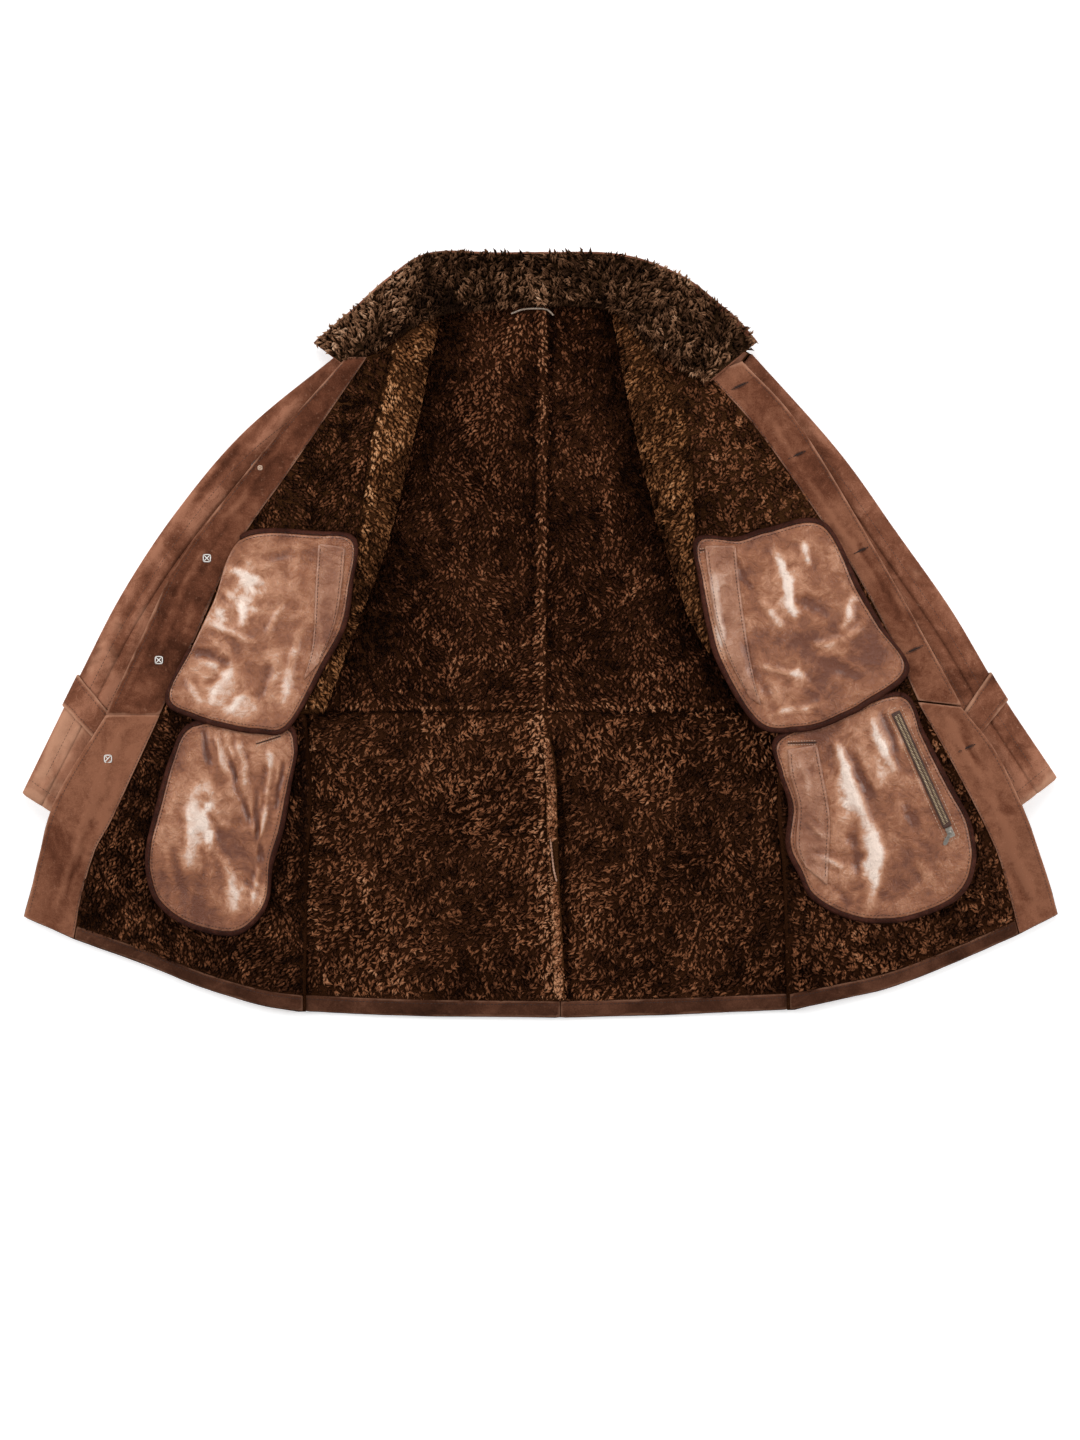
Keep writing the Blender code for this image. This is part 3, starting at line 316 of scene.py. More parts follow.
def lumps(points, size, seed):
    """Smooth lattice noise between -1 and 1 over points in a plane."""
    lattice = np.random.default_rng(seed).uniform(-1, 1, (64, 64))
    place = np.asarray(points, float)[..., :2] / size + 500.37
    cell = np.floor(place).astype(int)
    t = place - cell
    t = t * t * (3 - 2 * t)
    x, y = cell[..., 0], cell[..., 1]
    corner = [lattice[(x + i) % 64, (y + j) % 64] for i, j in ((0, 0), (1, 0), (0, 1), (1, 1))]
    low = corner[0] * (1 - t[..., 0]) + corner[1] * t[..., 0]
    high = corner[2] * (1 - t[..., 0]) + corner[3] * t[..., 0]
    return low * (1 - t[..., 1]) + high * t[..., 1]


def layered(points, size, seed, octaves=3):
    return sum(lumps(points, size / 2**k, seed + k) / 2**k for k in range(octaves)) / 1.5


def gaussian(grid, sigma):
    reach = int(3 * sigma) + 1
    kernel = np.exp(-0.5 * (np.arange(-reach, reach + 1) / sigma) ** 2)
    kernel /= kernel.sum()
    padded = np.pad(grid, reach)
    for axis in (0, 1):
        padded = np.apply_along_axis(np.convolve, axis, padded, kernel, "same")
    return padded[reach:-reach, reach:-reach]


def line_reach(xy, line):
    """Distance from each point to a line, and the share of the line passed there."""
    line = np.array(line, float)
    best = np.full(xy.shape[:-1], 1e9)
    share = np.zeros(xy.shape[:-1])
    for k in range(len(line) - 1):
        a, d = line[k], line[k + 1] - line[k]
        t = np.clip(((xy - a) @ d) / max(d @ d, 1e-9), 0, 1)
        off = np.linalg.norm(xy - a - t[..., None] * d, axis=-1)
        share = np.where(off < best, (k + t) / (len(line) - 1), share)
        best = np.minimum(best, off)
    return best, share


def fold_relief(xy, rows, seed):
    """Height that the listed creases add, each wandering a little and fading at its ends."""
    drift = np.stack([lumps(xy, 16, seed), lumps(xy, 16, seed + 1)], axis=-1) * 2.6
    height = np.zeros(xy.shape[:-1])
    for x1, y1, x2, y2, width, rise in rows:
        off, share = line_reach(xy + drift, [(x1, y1), (x2, y2)])
        fade = np.clip(np.minimum(share, 1 - share) * 5 + 0.25, 0, 1)
        height += rise * fade * np.exp(-((off / (width * 0.55)) ** 2))
        height -= 0.25 * rise * fade * np.exp(-(((off - width) / (width * 0.5)) ** 2))
    return height


def ridge_relief(xy):
    """Height and tone that the seams and soft ridges add to the fleece; the tone paints light on ridges, and
    shade in grooves and beside the folds.
    """
    height = np.zeros(xy.shape[:-1])
    tone = np.zeros(xy.shape[:-1])
    wander = np.stack([lumps(xy, 22, 91), lumps(xy, 22, 92)], axis=-1) * 1.2
    for line, width, rise, light in FLEECE_RIDGES:
        near = np.exp(-((line_reach(xy + wander, line)[0] / width) ** 2))
        height += rise * near
        tone += light * near
    return height, tone


def tree_of(obj):
    mesh = obj.data
    return BVHTree.FromPolygons([v.co for v in mesh.vertices], [p.vertices for p in mesh.polygons])


class Height:
    """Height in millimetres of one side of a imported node, softened so that no facet shows."""

    def __init__(self, node, above=True, blur=15.0, cell=6.0):
        low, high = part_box(node)
        corner = np.array([low.x, low.y]) * 1000 - (CENTRE_SEAM_X, -HALF_LENGTH) - 3 * cell
        count = np.ceil((np.array([high.x - low.x, high.y - low.y]) * 1000 + 6 * cell) / cell).astype(int) + 1
        tree = tree_of(NODES[node])
        start, way = (1.0, -1.0) if above else (-1.0, 1.0)
        grid = np.full(count, np.nan)
        for i in range(count[0]):
            for j in range(count[1]):
                at = to_world((corner[0] + i * cell, corner[1] + j * cell, 0.0))
                hit = tree.ray_cast(Vector((at[0], at[1], start)), Vector((0, 0, way)))[0]
                if hit is not None:
                    grid[i, j] = hit.z * 1000
        known = ~np.isnan(grid)
        filled = np.where(known, grid, 0.0)
        made = np.full(grid.shape, np.nan)
        for sigma in (1, 2, 4, 8, 16):
            weight = gaussian(known.astype(float), blur / cell * sigma)
            value = gaussian(filled, blur / cell * sigma)
            take = np.isnan(made) & (weight > 0.02)
            made[take] = value[take] / weight[take]
        self.grid = np.where(np.isnan(made), filled[known].mean(), made)
        self.corner, self.cell = corner, cell

    def __call__(self, xy):
        place = (np.asarray(xy, float)[..., :2] - self.corner) / self.cell
        limit = np.array(self.grid.shape) - 1.001
        place = np.clip(place, 0, limit)
        cell = place.astype(int)
        t = place - cell
        x, y = cell[..., 0], cell[..., 1]
        low = self.grid[x, y] * (1 - t[..., 0]) + self.grid[x + 1, y] * t[..., 0]
        high = self.grid[x, y + 1] * (1 - t[..., 0]) + self.grid[x + 1, y + 1] * t[..., 0]
        return low * (1 - t[..., 1]) + high * t[..., 1]


def build_mesh(name, points, faces, marks=(), kinds=None, finishes=()):
    """Object from points in metres and lists of faces, with point attributes and materials."""
    faces = [np.asarray(group, np.int64) for group in faces if len(group)]
    mesh = bpy.data.meshes.new(name)
    mesh.vertices.add(len(points))
    mesh.vertices.foreach_set("co", np.asarray(points, np.float32).ravel())
    corners = np.concatenate([group.ravel() for group in faces])
    sizes = np.concatenate([np.full(len(group), group.shape[1]) for group in faces])
    mesh.loops.add(len(corners))
    mesh.loops.foreach_set("vertex_index", corners.astype(np.int32))
    mesh.polygons.add(len(sizes))
    mesh.polygons.foreach_set("loop_start", np.r_[0, np.cumsum(sizes)[:-1]].astype(np.int32))
    mesh.polygons.foreach_set("use_smooth", np.ones(len(sizes), bool))
    for label, values in dict(marks).items():
        mesh.attributes.new(label, "FLOAT", "POINT").data.foreach_set("value",
                                                                      np.asarray(values, np.float32).ravel())
    for finish in finishes:
        mesh.materials.append(finish)
    if kinds is not None:
        mesh.polygons.foreach_set("material_index", np.asarray(kinds, np.int32))
    mesh.update(calc_edges=True)
    mesh.validate()
    obj = bpy.data.objects.new(name, mesh)
    bpy.context.scene.collection.objects.link(obj)
    return obj


def grid_faces(rows, columns, offset=0, flip=False, wrap=False):
    i, j = np.meshgrid(np.arange(rows - 1), np.arange(columns if wrap else columns - 1), indexing="ij")
    n = (j + 1) % columns
    quad = np.stack([i * columns + j, i * columns + n, (i + 1) * columns + n, (i + 1) * columns + j], axis=-1)
    quad = quad.reshape(-1, 4) + offset
    return quad[:, ::-1] if flip else quad


def volume(points, faces):
    total = 0.0
    for group in faces:
        p = points[group]
        for k in range(1, group.shape[1] - 1):
            total += np.einsum("ij,ij->i", p[:, 0], np.cross(p[:, k], p[:, k + 1])).sum()
    return total


def rim_loop(rows, columns):
    loop = [(0, j) for j in range(columns)] + [(i, columns - 1) for i in range(1, rows)]
    loop += [(rows - 1, j) for j in range(columns - 2, -1, -1)] + [(i, 0) for i in range(rows - 2, 0, -1)]
    return np.array(loop)


def cloth(name, lower, upper, finishes, marks=None, bulge=0.4, rim_kind=0, over_kind=0):
    """Closed cloth between two grids in millimetres; its rim bulges out like a folded or cut edge."""
    rows, columns = lower.shape[:2]
    count = rows * columns
    loop = rim_loop(rows, columns)
    low, high = lower[loop[:, 0], loop[:, 1]], upper[loop[:, 0], loop[:, 1]]
    inner = np.clip(loop, 1, np.array([rows, columns]) - 2)
    out = high - upper[inner[:, 0], inner[:, 1]]
    out[:, 2] = 0
    out /= np.maximum(np.linalg.norm(out, axis=1, keepdims=True), 1e-9)
    thick = np.linalg.norm(high - low, axis=1, keepdims=True)
    rim = (low + high) / 2 + out * np.minimum(thick * bulge, 3.0)
    points = np.vstack([lower.reshape(-1, 3), upper.reshape(-1, 3), rim])
    index = loop[:, 0] * columns + loop[:, 1]
    beside = np.roll(index, -1)
    edge = np.arange(len(loop)) + 2 * count
    edge_next = np.roll(edge, -1)
    under = grid_faces(rows, columns, 0, flip=True)
    over = grid_faces(rows, columns, count)
    skirt_low = np.stack([index, beside, edge_next, edge], axis=1)
    skirt_high = np.stack([edge, edge_next, beside + count, index + count], axis=1)
    faces = [under, over, skirt_low, skirt_high]
    world = to_world(points)
    if volume(world, faces) < 0:
        faces = [group[:, ::-1] for group in faces]
    rim = np.broadcast_to(rim_kind, len(loop))
    kinds = np.concatenate([np.full(len(under), 1 if len(finishes) > 1 else 0),
                            np.broadcast_to(over_kind, len(over)), rim, rim])
    given = {}
    for label, values in (marks or {}).items():
        values = np.asarray(values, float)
        given[label] = np.r_[values.ravel(), values.ravel(), values[loop[:, 0], loop[:, 1]]]
    return build_mesh(name, world, faces, given, kinds, finishes)


def plan_between(rails, columns):
    """Grid of points across two or more rails, pulled in by half a seam gap all round."""
    lines = []
    for k in range(len(rails) - 1):
        t = np.linspace(0, 1, columns[k], endpoint=False)[None, :, None]
        lines.append(rails[k][:, None] * (1 - t) + rails[k + 1][:, None] * t)
    plan = np.concatenate(lines + [rails[-1][:, None]], axis=1)
    inset = plan.copy()
    for edge, inner in ((np.s_[:, 0], np.s_[:, 1]), (np.s_[:, -1], np.s_[:, -2]),
                        (np.s_[0, :], np.s_[1, :]), (np.s_[-1, :], np.s_[-2, :])):
        step = plan[inner] - plan[edge]
        inset[edge] += step / np.maximum(np.linalg.norm(step, axis=-1, keepdims=True), 1e-9) * SEAM / 2
    return inset


def edge_share(plan, reach):
    """0 on the rim of a grid, 1 from reach millimetres inwards."""
    rim = plan[tuple(rim_loop(*plan.shape[:2]).T)]
    return np.clip(line_reach(plan, np.vstack([rim, rim[:1]]))[0] / reach, 0, 1)


def settled(obj, body="coat"):
    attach(obj, body)
    return obj


def declare(obj, node, tufts=()):
    """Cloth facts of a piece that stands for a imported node."""
    width, length, area = CUT[node]
    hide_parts(node)
    SHEETS.append((obj, node, (width, length), area, list(tufts)))


SHEETS = []
SKINS = {}
SEAM_LINES = {}


# ---------------------------------------------------------------- finishes


class Sum:
    """A socket of a finish that joins numbers and other sockets by + - * / and powers."""

    def __init__(self, finish, socket):
        self.finish, self.socket = finish, socket

    def __add__(self, other):
        return self.finish.sum("ADD", self, other)

    __radd__ = __add__

    def __mul__(self, other):
        return self.finish.sum("MULTIPLY", self, other)

    __rmul__ = __mul__

    def __sub__(self, other):
        return self.finish.sum("SUBTRACT", self, other)

    def __rsub__(self, other):
        return self.finish.sum("SUBTRACT", other, self)

    def __truediv__(self, other):
        return self.finish.sum("DIVIDE", self, other)

    def __pow__(self, other):
        return self.finish.sum("POWER", self, other)


class Finish:
    """One material, with a principled shader whose plain values are set on its own sockets."""

    def __init__(self, name, **plain):
        self.material = bpy.data.materials.new(name)
        self.material.use_nodes = True
        self.tree = self.material.node_tree
        self.shader = self.tree.nodes["Principled BSDF"]
        for socket, value in plain.items():
            self.shader.inputs[socket.replace("_", " ")].default_value = value
        self.place = self.node("ShaderNodeTexCoord", output="Object")

    def feed(self, socket, value):
        if isinstance(value, Sum):
            self.tree.links.new(value.socket, socket)
        else:
            socket.default_value = value

    def node(self, kind, settings=(), inputs=(), output=0):
        made = self.tree.nodes.new(kind)
        for key, value in dict(settings).items():
            if key == "stops":
                ramp = made.color_ramp
                while len(ramp.elements) < len(value):
                    ramp.elements.new(0.5)
                for element, (at, colour) in zip(ramp.elements, value):
                    element.position = at
                    element.color = (*colour, 1.0)
            else:
                setattr(made, key, value)
        for key, value in dict(inputs).items():
            self.feed(made.inputs[key], value)
        return Sum(self, made.outputs[output])

    def sum(self, operation, *terms):
        return self.node("ShaderNodeMath", {"operation": operation}, dict(enumerate(terms)))

    def spots(self, scale, detail=2.0, rough=0.5, warp=0.0, place=None):
        return self.node("ShaderNodeTexNoise", {}, {"Vector": place or self.place, "Scale": scale,
                                                    "Detail": detail,
                                                    "Roughness": rough, "Distortion": warp})

    def cells(self, scale, feature="F1", place=None):
        return self.node("ShaderNodeTexVoronoi", {"feature": feature},
                         {"Vector": place or self.place, "Scale": scale},
                         "Distance")

    def mark(self, label):
        return self.node("ShaderNodeAttribute", {"attribute_name": label}, output="Fac")

    def between(self, value, low, high, start=0.0, end=1.0):
        return self.node("ShaderNodeMapRange", {"interpolation_type": "SMOOTHSTEP"},
                         {"Value": value, "From Min": low, "From Max": high, "To Min": start, "To Max": end})

    def ramp(self, value, *stops):
        return self.node("ShaderNodeValToRGB", {"stops": stops}, {"Fac": value})

    def blend(self, share, first, second, kind="MIX"):
        first, second = [(*c, 1.0) if isinstance(c, tuple) and len(c) == 3 else c for c in (first, second)]
        return self.node("ShaderNodeMix", {"data_type": "RGBA", "blend_type": kind, "clamp_factor": True},
                         {0: share, 6: first, 7: second}, 2)

    def done(self, colour, roughness=None, relief=None, depth=0.0005, **others):
        self.feed(self.shader.inputs["Base Color"], colour)
        if roughness is not None:
            self.feed(self.shader.inputs["Roughness"], roughness)
        for socket, value in others.items():
            self.feed(self.shader.inputs[socket.replace("_", " ")], value)
        if relief is not None:
            bump = self.node("ShaderNodeBump", {}, {"Strength": 1.0, "Distance": depth, "Height": relief},
                             "Normal")
            self.feed(self.shader.inputs["Normal"], bump)
        return self.material


def suede_finish(name, dark, mid, light, pale):
    """Brushed nap with handling shades; fold ridges are lighter and fold valleys darker as painted light and
    shade. Its rubbed edges and seams are paler, and on the sleeves the same pale mark is painted light on the
    outer slope toward the cuff.
    """
    f = Finish(name, Sheen_Weight=0.2, Sheen_Roughness=0.45, Sheen_Tint=(*light, 1.0),
               Specular_IOR_Level=0.06)
    broad = f.spots(9.0, 4.0, 0.6, 0.8)
    brushed = f.spots(46.0, 5.0, 0.68, 1.4)
    nap = f.spots(640.0, 3.0, 0.7)
    # The relief mark lightens fold ridges and darkens fold valleys: painted light and shade.
    shade = broad * 0.58 + brushed * 0.27 + nap * 0.22 + f.mark("relief") * 0.05
    skin = f.ramp(shade, (0.40, dark), (0.53, mid), (0.66, light))
    flecks = f.between(f.spots(210.0, 4.0, 0.7), 0.58, 0.72)
    # The pale mark is wear on edges and seams, and on the sleeves it is also painted light.
    rubbed_and_lit = f.between(f.mark("worn") + (f.spots(22.0, 3.0, 0.6) - 0.5) * 2.2, 0.40, 1.15)
    skin = f.blend(rubbed_and_lit * 0.62, skin, pale)
    skin = f.blend(flecks * 0.22, skin, pale)
    fibres = f.spots(1500.0, 2.0, 0.6)
    return f.done(skin, 0.80 + nap * 0.18, nap * 0.5 + fibres * 0.3 + brushed * 0.8, 0.0011)


def leather_finish(name, dark, mid, light, pale, gloss=0.30, coat=0.5, shine=0.5):
    """Glazed lambskin: fine pebble grain, drawn wrinkles, colour pulled pale on ridges as painted light and
    dark in creases as painted shade, and pale at the painted highlights.
    """
    f = Finish(name, Coat_Roughness=0.16, Specular_IOR_Level=shine)
    broad = f.spots(16.0, 5.0, 0.62, 1.2)
    drawn = f.spots(70.0, 6.0, 0.7, 2.2)
    lift = f.mark("relief")
    # Lift paints light on ridges and shade in creases; the highlight mark adds painted highlights.
    shade = broad * 0.46 + drawn * 0.38 + lift * 0.07 + f.mark("bloom") * 0.30 + 0.095
    skin = f.ramp(shade, (0.36, dark), (0.50, mid), (0.63, light), (0.84, pale))
    cracks = f.between(f.cells(150.0, "DISTANCE_TO_EDGE"), 0.0, 0.06, 1.0, 0.0)
    cracks = cracks * f.between(drawn, 0.48, 0.64)
    skin = f.blend(cracks * 0.35, skin, dark)
    rubbed_and_lit = f.between(f.mark("worn") + (drawn - 0.5) * 0.7, 0.4, 1.0)
    skin = f.blend(rubbed_and_lit * 0.35, skin, light)
    grain = f.cells(900.0)
    wrinkle = f.spots(240.0, 4.0, 0.6, 1.6)
    rough = f.between(broad, 0.35, 0.65, gloss + 0.14, gloss - 0.06)
    return f.done(skin, rough, grain * 0.22 + wrinkle * 0.8 + drawn * 3.2 - cracks * 0.5, 0.0010,
                  Coat_Weight=f.between(broad, 0.35, 0.65, coat * 0.5, coat))


def fleece_ground_finish(name, dark, light):
    """Short dense wool between the locks."""
    f = Finish(name, Roughness=0.96, Specular_IOR_Level=0.0)
    wisps = f.spots(700.0, 4.0, 0.72, 1.0)
    shade = wisps * 0.8 + f.mark("tone") * 0.12
    return f.done(f.ramp(shade, (0.26, dark), (0.62, light)), None, wisps, 0.002)


def fleece_lock_finish(name, root, middle, tip, glint):
    """One curl of wool: dark where it leaves the hide and paler toward its end, its palest stop a painted
    glint.
    """
    f = Finish(name, Roughness=0.8, Specular_IOR_Level=0.03)
    along, tone = f.mark("along"), f.mark("tone")
    strands = f.spots(900.0, 3.0, 0.65)
    shade = along * 0.40 + tone * 0.80 + (strands - 0.5) * 0.30 - 0.15
    # The glint stop at the top of the ramp is a painted highlight on the brightest tips.
    wool = f.ramp(shade, (0.12, root), (0.42, middle), (0.74, tip), (1.05, glint))
    return f.done(wool, None, strands, 0.0006)


def plain_finish(name, dark, light, scale, roughness, depth=0.0002, metallic=0.0, **plain):
    """Small parts: two close colours over a fine grain, with a lightly uneven polish."""
    f = Finish(name, Metallic=metallic, **plain)
    grain = f.spots(scale, 4.0, 0.6, 0.5)
    fine = f.spots(scale * 6.0, 2.0)
    return f.done(f.ramp(grain * 0.75 + fine * 0.25, (0.36, dark), (0.64, light)),
                  roughness - 0.08 + grain * 0.16, grain * 0.5 + fine, depth)


def tape_finish(name, dark, light):
    """Woven zip tape."""
    f = Finish(name, Roughness=0.8)
    weave = f.node("ShaderNodeTexWave", {"wave_type": "BANDS", "bands_direction": "DIAGONAL"},
                   {"Vector": f.place, "Scale": 300.0, "Distortion": 0.6})
    shade = weave * 0.5 + f.spots(300.0, 3.0) * 0.5
    return f.done(f.ramp(shade, (0.3, dark), (0.75, light)), None, weave, 0.0002)


SUEDE = suede_finish("suede", (0.050, 0.015, 0.007), (0.135, 0.045, 0.023), (0.26, 0.105, 0.058),
                     (0.48, 0.24, 0.15))
SLEEVE_SUEDE = suede_finish("sleeve_suede", (0.070, 0.022, 0.011), (0.175, 0.062, 0.033),
                            (0.34, 0.145, 0.085),
                            (0.56, 0.30, 0.19))
SUEDE_HEM = suede_finish("hem_suede", (0.026, 0.009, 0.0045), (0.058, 0.021, 0.011), (0.115, 0.045, 0.025),
                         (0.24, 0.115, 0.07))
RAW_EDGE = suede_finish("raw_edge", (0.20, 0.085, 0.050), (0.36, 0.19, 0.125), (0.52, 0.31, 0.22),
                        (0.66, 0.43, 0.32))
SUEDE_BACK = suede_finish("suede_outside", (0.075, 0.027, 0.015), (0.17, 0.067, 0.039), (0.29, 0.13, 0.08),
                          (0.42, 0.22, 0.14))
LEATHER = leather_finish("pocket_leather", (0.150, 0.038, 0.011), (0.310, 0.105, 0.040), (0.55, 0.255, 0.138),
                         (0.98, 0.78, 0.66))
LEATHER_GREY = leather_finish("pocket_facing_leather", (0.150, 0.042, 0.016), (0.265, 0.092, 0.040),
                              (0.42, 0.185, 0.100), (0.74, 0.48, 0.36))
BINDING = leather_finish("binding_leather", (0.018, 0.0045, 0.0025), (0.044, 0.0115, 0.0062),
                         (0.090, 0.026, 0.015),
                         (0.15, 0.055, 0.038), 0.66, 0.0, 0.1)
GROUND = fleece_ground_finish("fleece_ground", (0.014, 0.0047, 0.0019), (0.080, 0.028, 0.0115))
GROUND_GOLD = fleece_ground_finish("fleece_ground_gold", (0.020, 0.0070, 0.0026), (0.12, 0.046, 0.0170))
GROUND_COLLAR = fleece_ground_finish("fleece_ground_collar", (0.014, 0.0062, 0.0026), (0.08, 0.038, 0.017))
LOCKS = fleece_lock_finish("fleece_locks", (0.006, 0.0018, 0.0007), (0.044, 0.0140, 0.0060),
                           (0.190, 0.068, 0.0300),
                           (0.40, 0.180, 0.090))
LOCKS_FRONT = fleece_lock_finish("fleece_locks_front", (0.009, 0.0028, 0.0011), (0.070, 0.0235, 0.0100),
                                 (0.260, 0.098, 0.0430), (0.50, 0.24, 0.125))
LOCKS_GOLD = fleece_lock_finish("fleece_locks_gold", (0.010, 0.0033, 0.0011), (0.095, 0.034, 0.0125),
                                (0.320, 0.132, 0.0500), (0.60, 0.31, 0.15))
LOCKS_COLLAR = fleece_lock_finish("fleece_locks_collar", (0.009, 0.0034, 0.0015), (0.074, 0.032, 0.0150),
                                  (0.29, 0.145, 0.0770), (0.60, 0.37, 0.23))
THREAD = plain_finish("thread_brown", (0.030, 0.011, 0.007), (0.085, 0.036, 0.022), 500.0, 0.75)
THREAD_DARK = plain_finish("thread_dark", (0.012, 0.004, 0.003), (0.040, 0.014, 0.009), 500.0, 0.8)
THREAD_PALE = plain_finish("thread_pale", (0.42, 0.27, 0.19), (0.66, 0.48, 0.36), 500.0, 0.7)
THREAD_WHITE = plain_finish("thread_white", (0.62, 0.58, 0.53), (0.95, 0.93, 0.90), 500.0, 0.7)
BRASS = plain_finish("zip_brass", (0.42, 0.30, 0.17), (0.74, 0.60, 0.40), 300.0, 0.34, 0.0001, 1.0)
SILVER = plain_finish("zip_metal", (0.36, 0.32, 0.27), (0.66, 0.61, 0.54), 300.0, 0.32, 0.00002, 1.0)
CORD = plain_finish("loop_cord", (0.20, 0.14, 0.10), (0.46, 0.36, 0.28), 700.0, 0.8, 0.0003)
HORN = plain_finish("button_horn", (0.018, 0.007, 0.004), (0.085, 0.035, 0.018), 60.0, 0.35, 0.0001)
TAPE = tape_finish("zip_tape_weave", (0.030, 0.012, 0.008), (0.11, 0.05, 0.032))
# Near-black bars laid in the pocket slits and buttonholes: painted shadow of the openings.
SLIT_SHADOW = plain_finish("slit_painted_shadow", (0.006, 0.002, 0.0015), (0.022, 0.008, 0.005), 200.0, 0.85)


# ---------------------------------------------------------------- stitching and hardware


def shaped(add, shape):
    """Points and faces of a small part modelled in edit mode, then taken off the scene."""
    bpy.ops.object.select_all(action="DESELECT")
    add()
    made = bpy.context.object
    bpy.ops.object.mode_set(mode="EDIT")
    shape(made)
    bpy.ops.object.mode_set(mode="OBJECT")
    bpy.ops.object.transform_apply(location=True, rotation=True, scale=True)
    points = np.array([v.co for v in made.data.vertices], float)
    faces = [list(p.vertices) for p in made.data.polygons]
    bpy.data.objects.remove(made, do_unlink=True)
    return points, faces


def pick(made, kind, test):
    """In edit mode, select the vertices or faces that pass a test of their place."""
    bpy.ops.mesh.select_all(action="DESELECT")
    bpy.ops.object.mode_set(mode="OBJECT")
    for item in made.data.vertices if kind == "VERT" else made.data.polygons:
        item.select = test(item)
    bpy.ops.object.mode_set(mode="EDIT")
    bpy.ops.mesh.select_mode(type=kind)


def shape_thread(made):
    """A stitch: thickest in the middle, both ends sinking into the cloth."""
    pick(made, "VERT", lambda v: abs(v.co.x) > 0.45)
    bpy.ops.transform.translate(value=(0, 0, -0.35))
    pick(made, "VERT", lambda v: abs(v.co.x) < 0.2)
    bpy.ops.transform.resize(value=(1.0, 1.15, 1.15))


def shape_tooth(made):
    """A zip tooth: a block narrowed to its hooked end, with broken edges."""
    pick(made, "FACE", lambda p: p.normal.x > 0.9)
    bpy.ops.transform.resize(value=(1.0, 0.55, 0.7))
    bpy.ops.mesh.select_all(action="SELECT")
    bpy.ops.mesh.bevel(offset=0.08, segments=1)


def shape_lips(made):
    """Buttonhole lips: a ring drawn out long, its ends pinched."""
    bpy.ops.mesh.select_all(action="SELECT")
    bpy.ops.transform.resize(value=(1.0, 0.17, 0.8))
    pick(made, "VERT", lambda v: abs(v.co.x) > 0.9)
    bpy.ops.transform.resize(value=(1.0, 0.6, 1.0))


THREAD_SHAPE = shaped(lambda: bpy.ops.mesh.primitive_uv_sphere_add(segments=5, ring_count=4, radius=1.0,
                                                                   rotation=(0, math.pi / 2, 0)),
                                                                   shape_thread)
TOOTH_SHAPE = shaped(lambda: bpy.ops.mesh.primitive_cube_add(size=1.0), shape_tooth)
LIPS_SHAPE = shaped(lambda: bpy.ops.mesh.primitive_torus_add(major_segments=26, minor_segments=6,
                                                             major_radius=1.0,
                                                             minor_radius=0.085), shape_lips)


def copies(name, shape, places, finish):
    """Copies of a small part, each with its own points, at places of (origin, axes) in millimetres."""
    points, faces = shape
    origin, axes = places
    world = to_world(origin[:, None] + np.einsum("pk,nkd->npd", points, axes)).reshape(-1, 3)
    shift = np.arange(len(origin))[:, None, None] * len(points)
    groups = []
    for size in sorted({len(face) for face in faces}):
        same = np.array([face for face in faces if len(face) == size])
        groups.append((same[None] + shift).reshape(-1, size))
    if volume(world, groups) < 0:
        groups = [group[:, ::-1] for group in groups]
    made = settled(build_mesh(name, world, groups, (), None, [finish]), "coat")
    return made


def bars(name, starts, ends, radius, finish):
    """Threads from start to end, lying on the cloth."""
    starts, ends = np.array(starts, float), np.array(ends, float)
    along = (ends - starts) / 2
    long = np.linalg.norm(along, axis=1, keepdims=True)
    across = np.cross([0, 0, 1.0], along)
    across /= np.maximum(np.linalg.norm(across, axis=1, keepdims=True), 1e-9)
    up = np.cross(along / long, across)
    axes = np.stack([along, across * radius, up * radius * 0.8], axis=1)
    return copies(name, THREAD_SHAPE, ((starts + ends) / 2, axes), finish)


def bar_row(name, lines, radius, finish, slot, pitch=4.4, length=3.2):
    """Running stitch along lines of points in millimetres."""
    starts, ends = [], []
    for line in lines:
        line = np.asarray(line, float)
        run = np.r_[0, np.cumsum(np.linalg.norm(np.diff(line, axis=0), axis=1))]
        at = np.arange(pitch / 2, run[-1] - pitch / 2, pitch)
        for offset, ends_list in ((-length / 2, starts), (length / 2, ends)):
            ends_list.append(np.stack([np.interp(at + offset, run, line[:, k]) for k in range(3)], axis=1))
    return bars(name, np.vstack(starts), np.vstack(ends), radius, finish)


def on_skin(obj, xy, lift=0.15):
    """Points on top of a built piece, from their place in the plan."""
    tree = tree_of(obj)
    made = []
    for x, y in np.asarray(xy, float)[:, :2]:
        at = to_world((x, y, 0.0))
        hit = tree.ray_cast(Vector((at[0], at[1], 1.0)), Vector((0, 0, -1)))[0]
        if hit is None:
            hit = tree.find_nearest(Vector((at[0], at[1], 0.05)))[0]
        made.append((x, y, hit.z * 1000 + lift))
    return np.array(made)


def dense(line, step=2.5):
    line = np.asarray(line, float)
    run = np.r_[0, np.cumsum(np.linalg.norm(np.diff(line, axis=0), axis=1))]
    at = np.arange(0, run[-1], step)
    return np.stack([np.interp(at, run, line[:, k]) for k in range(line.shape[1])], axis=1)


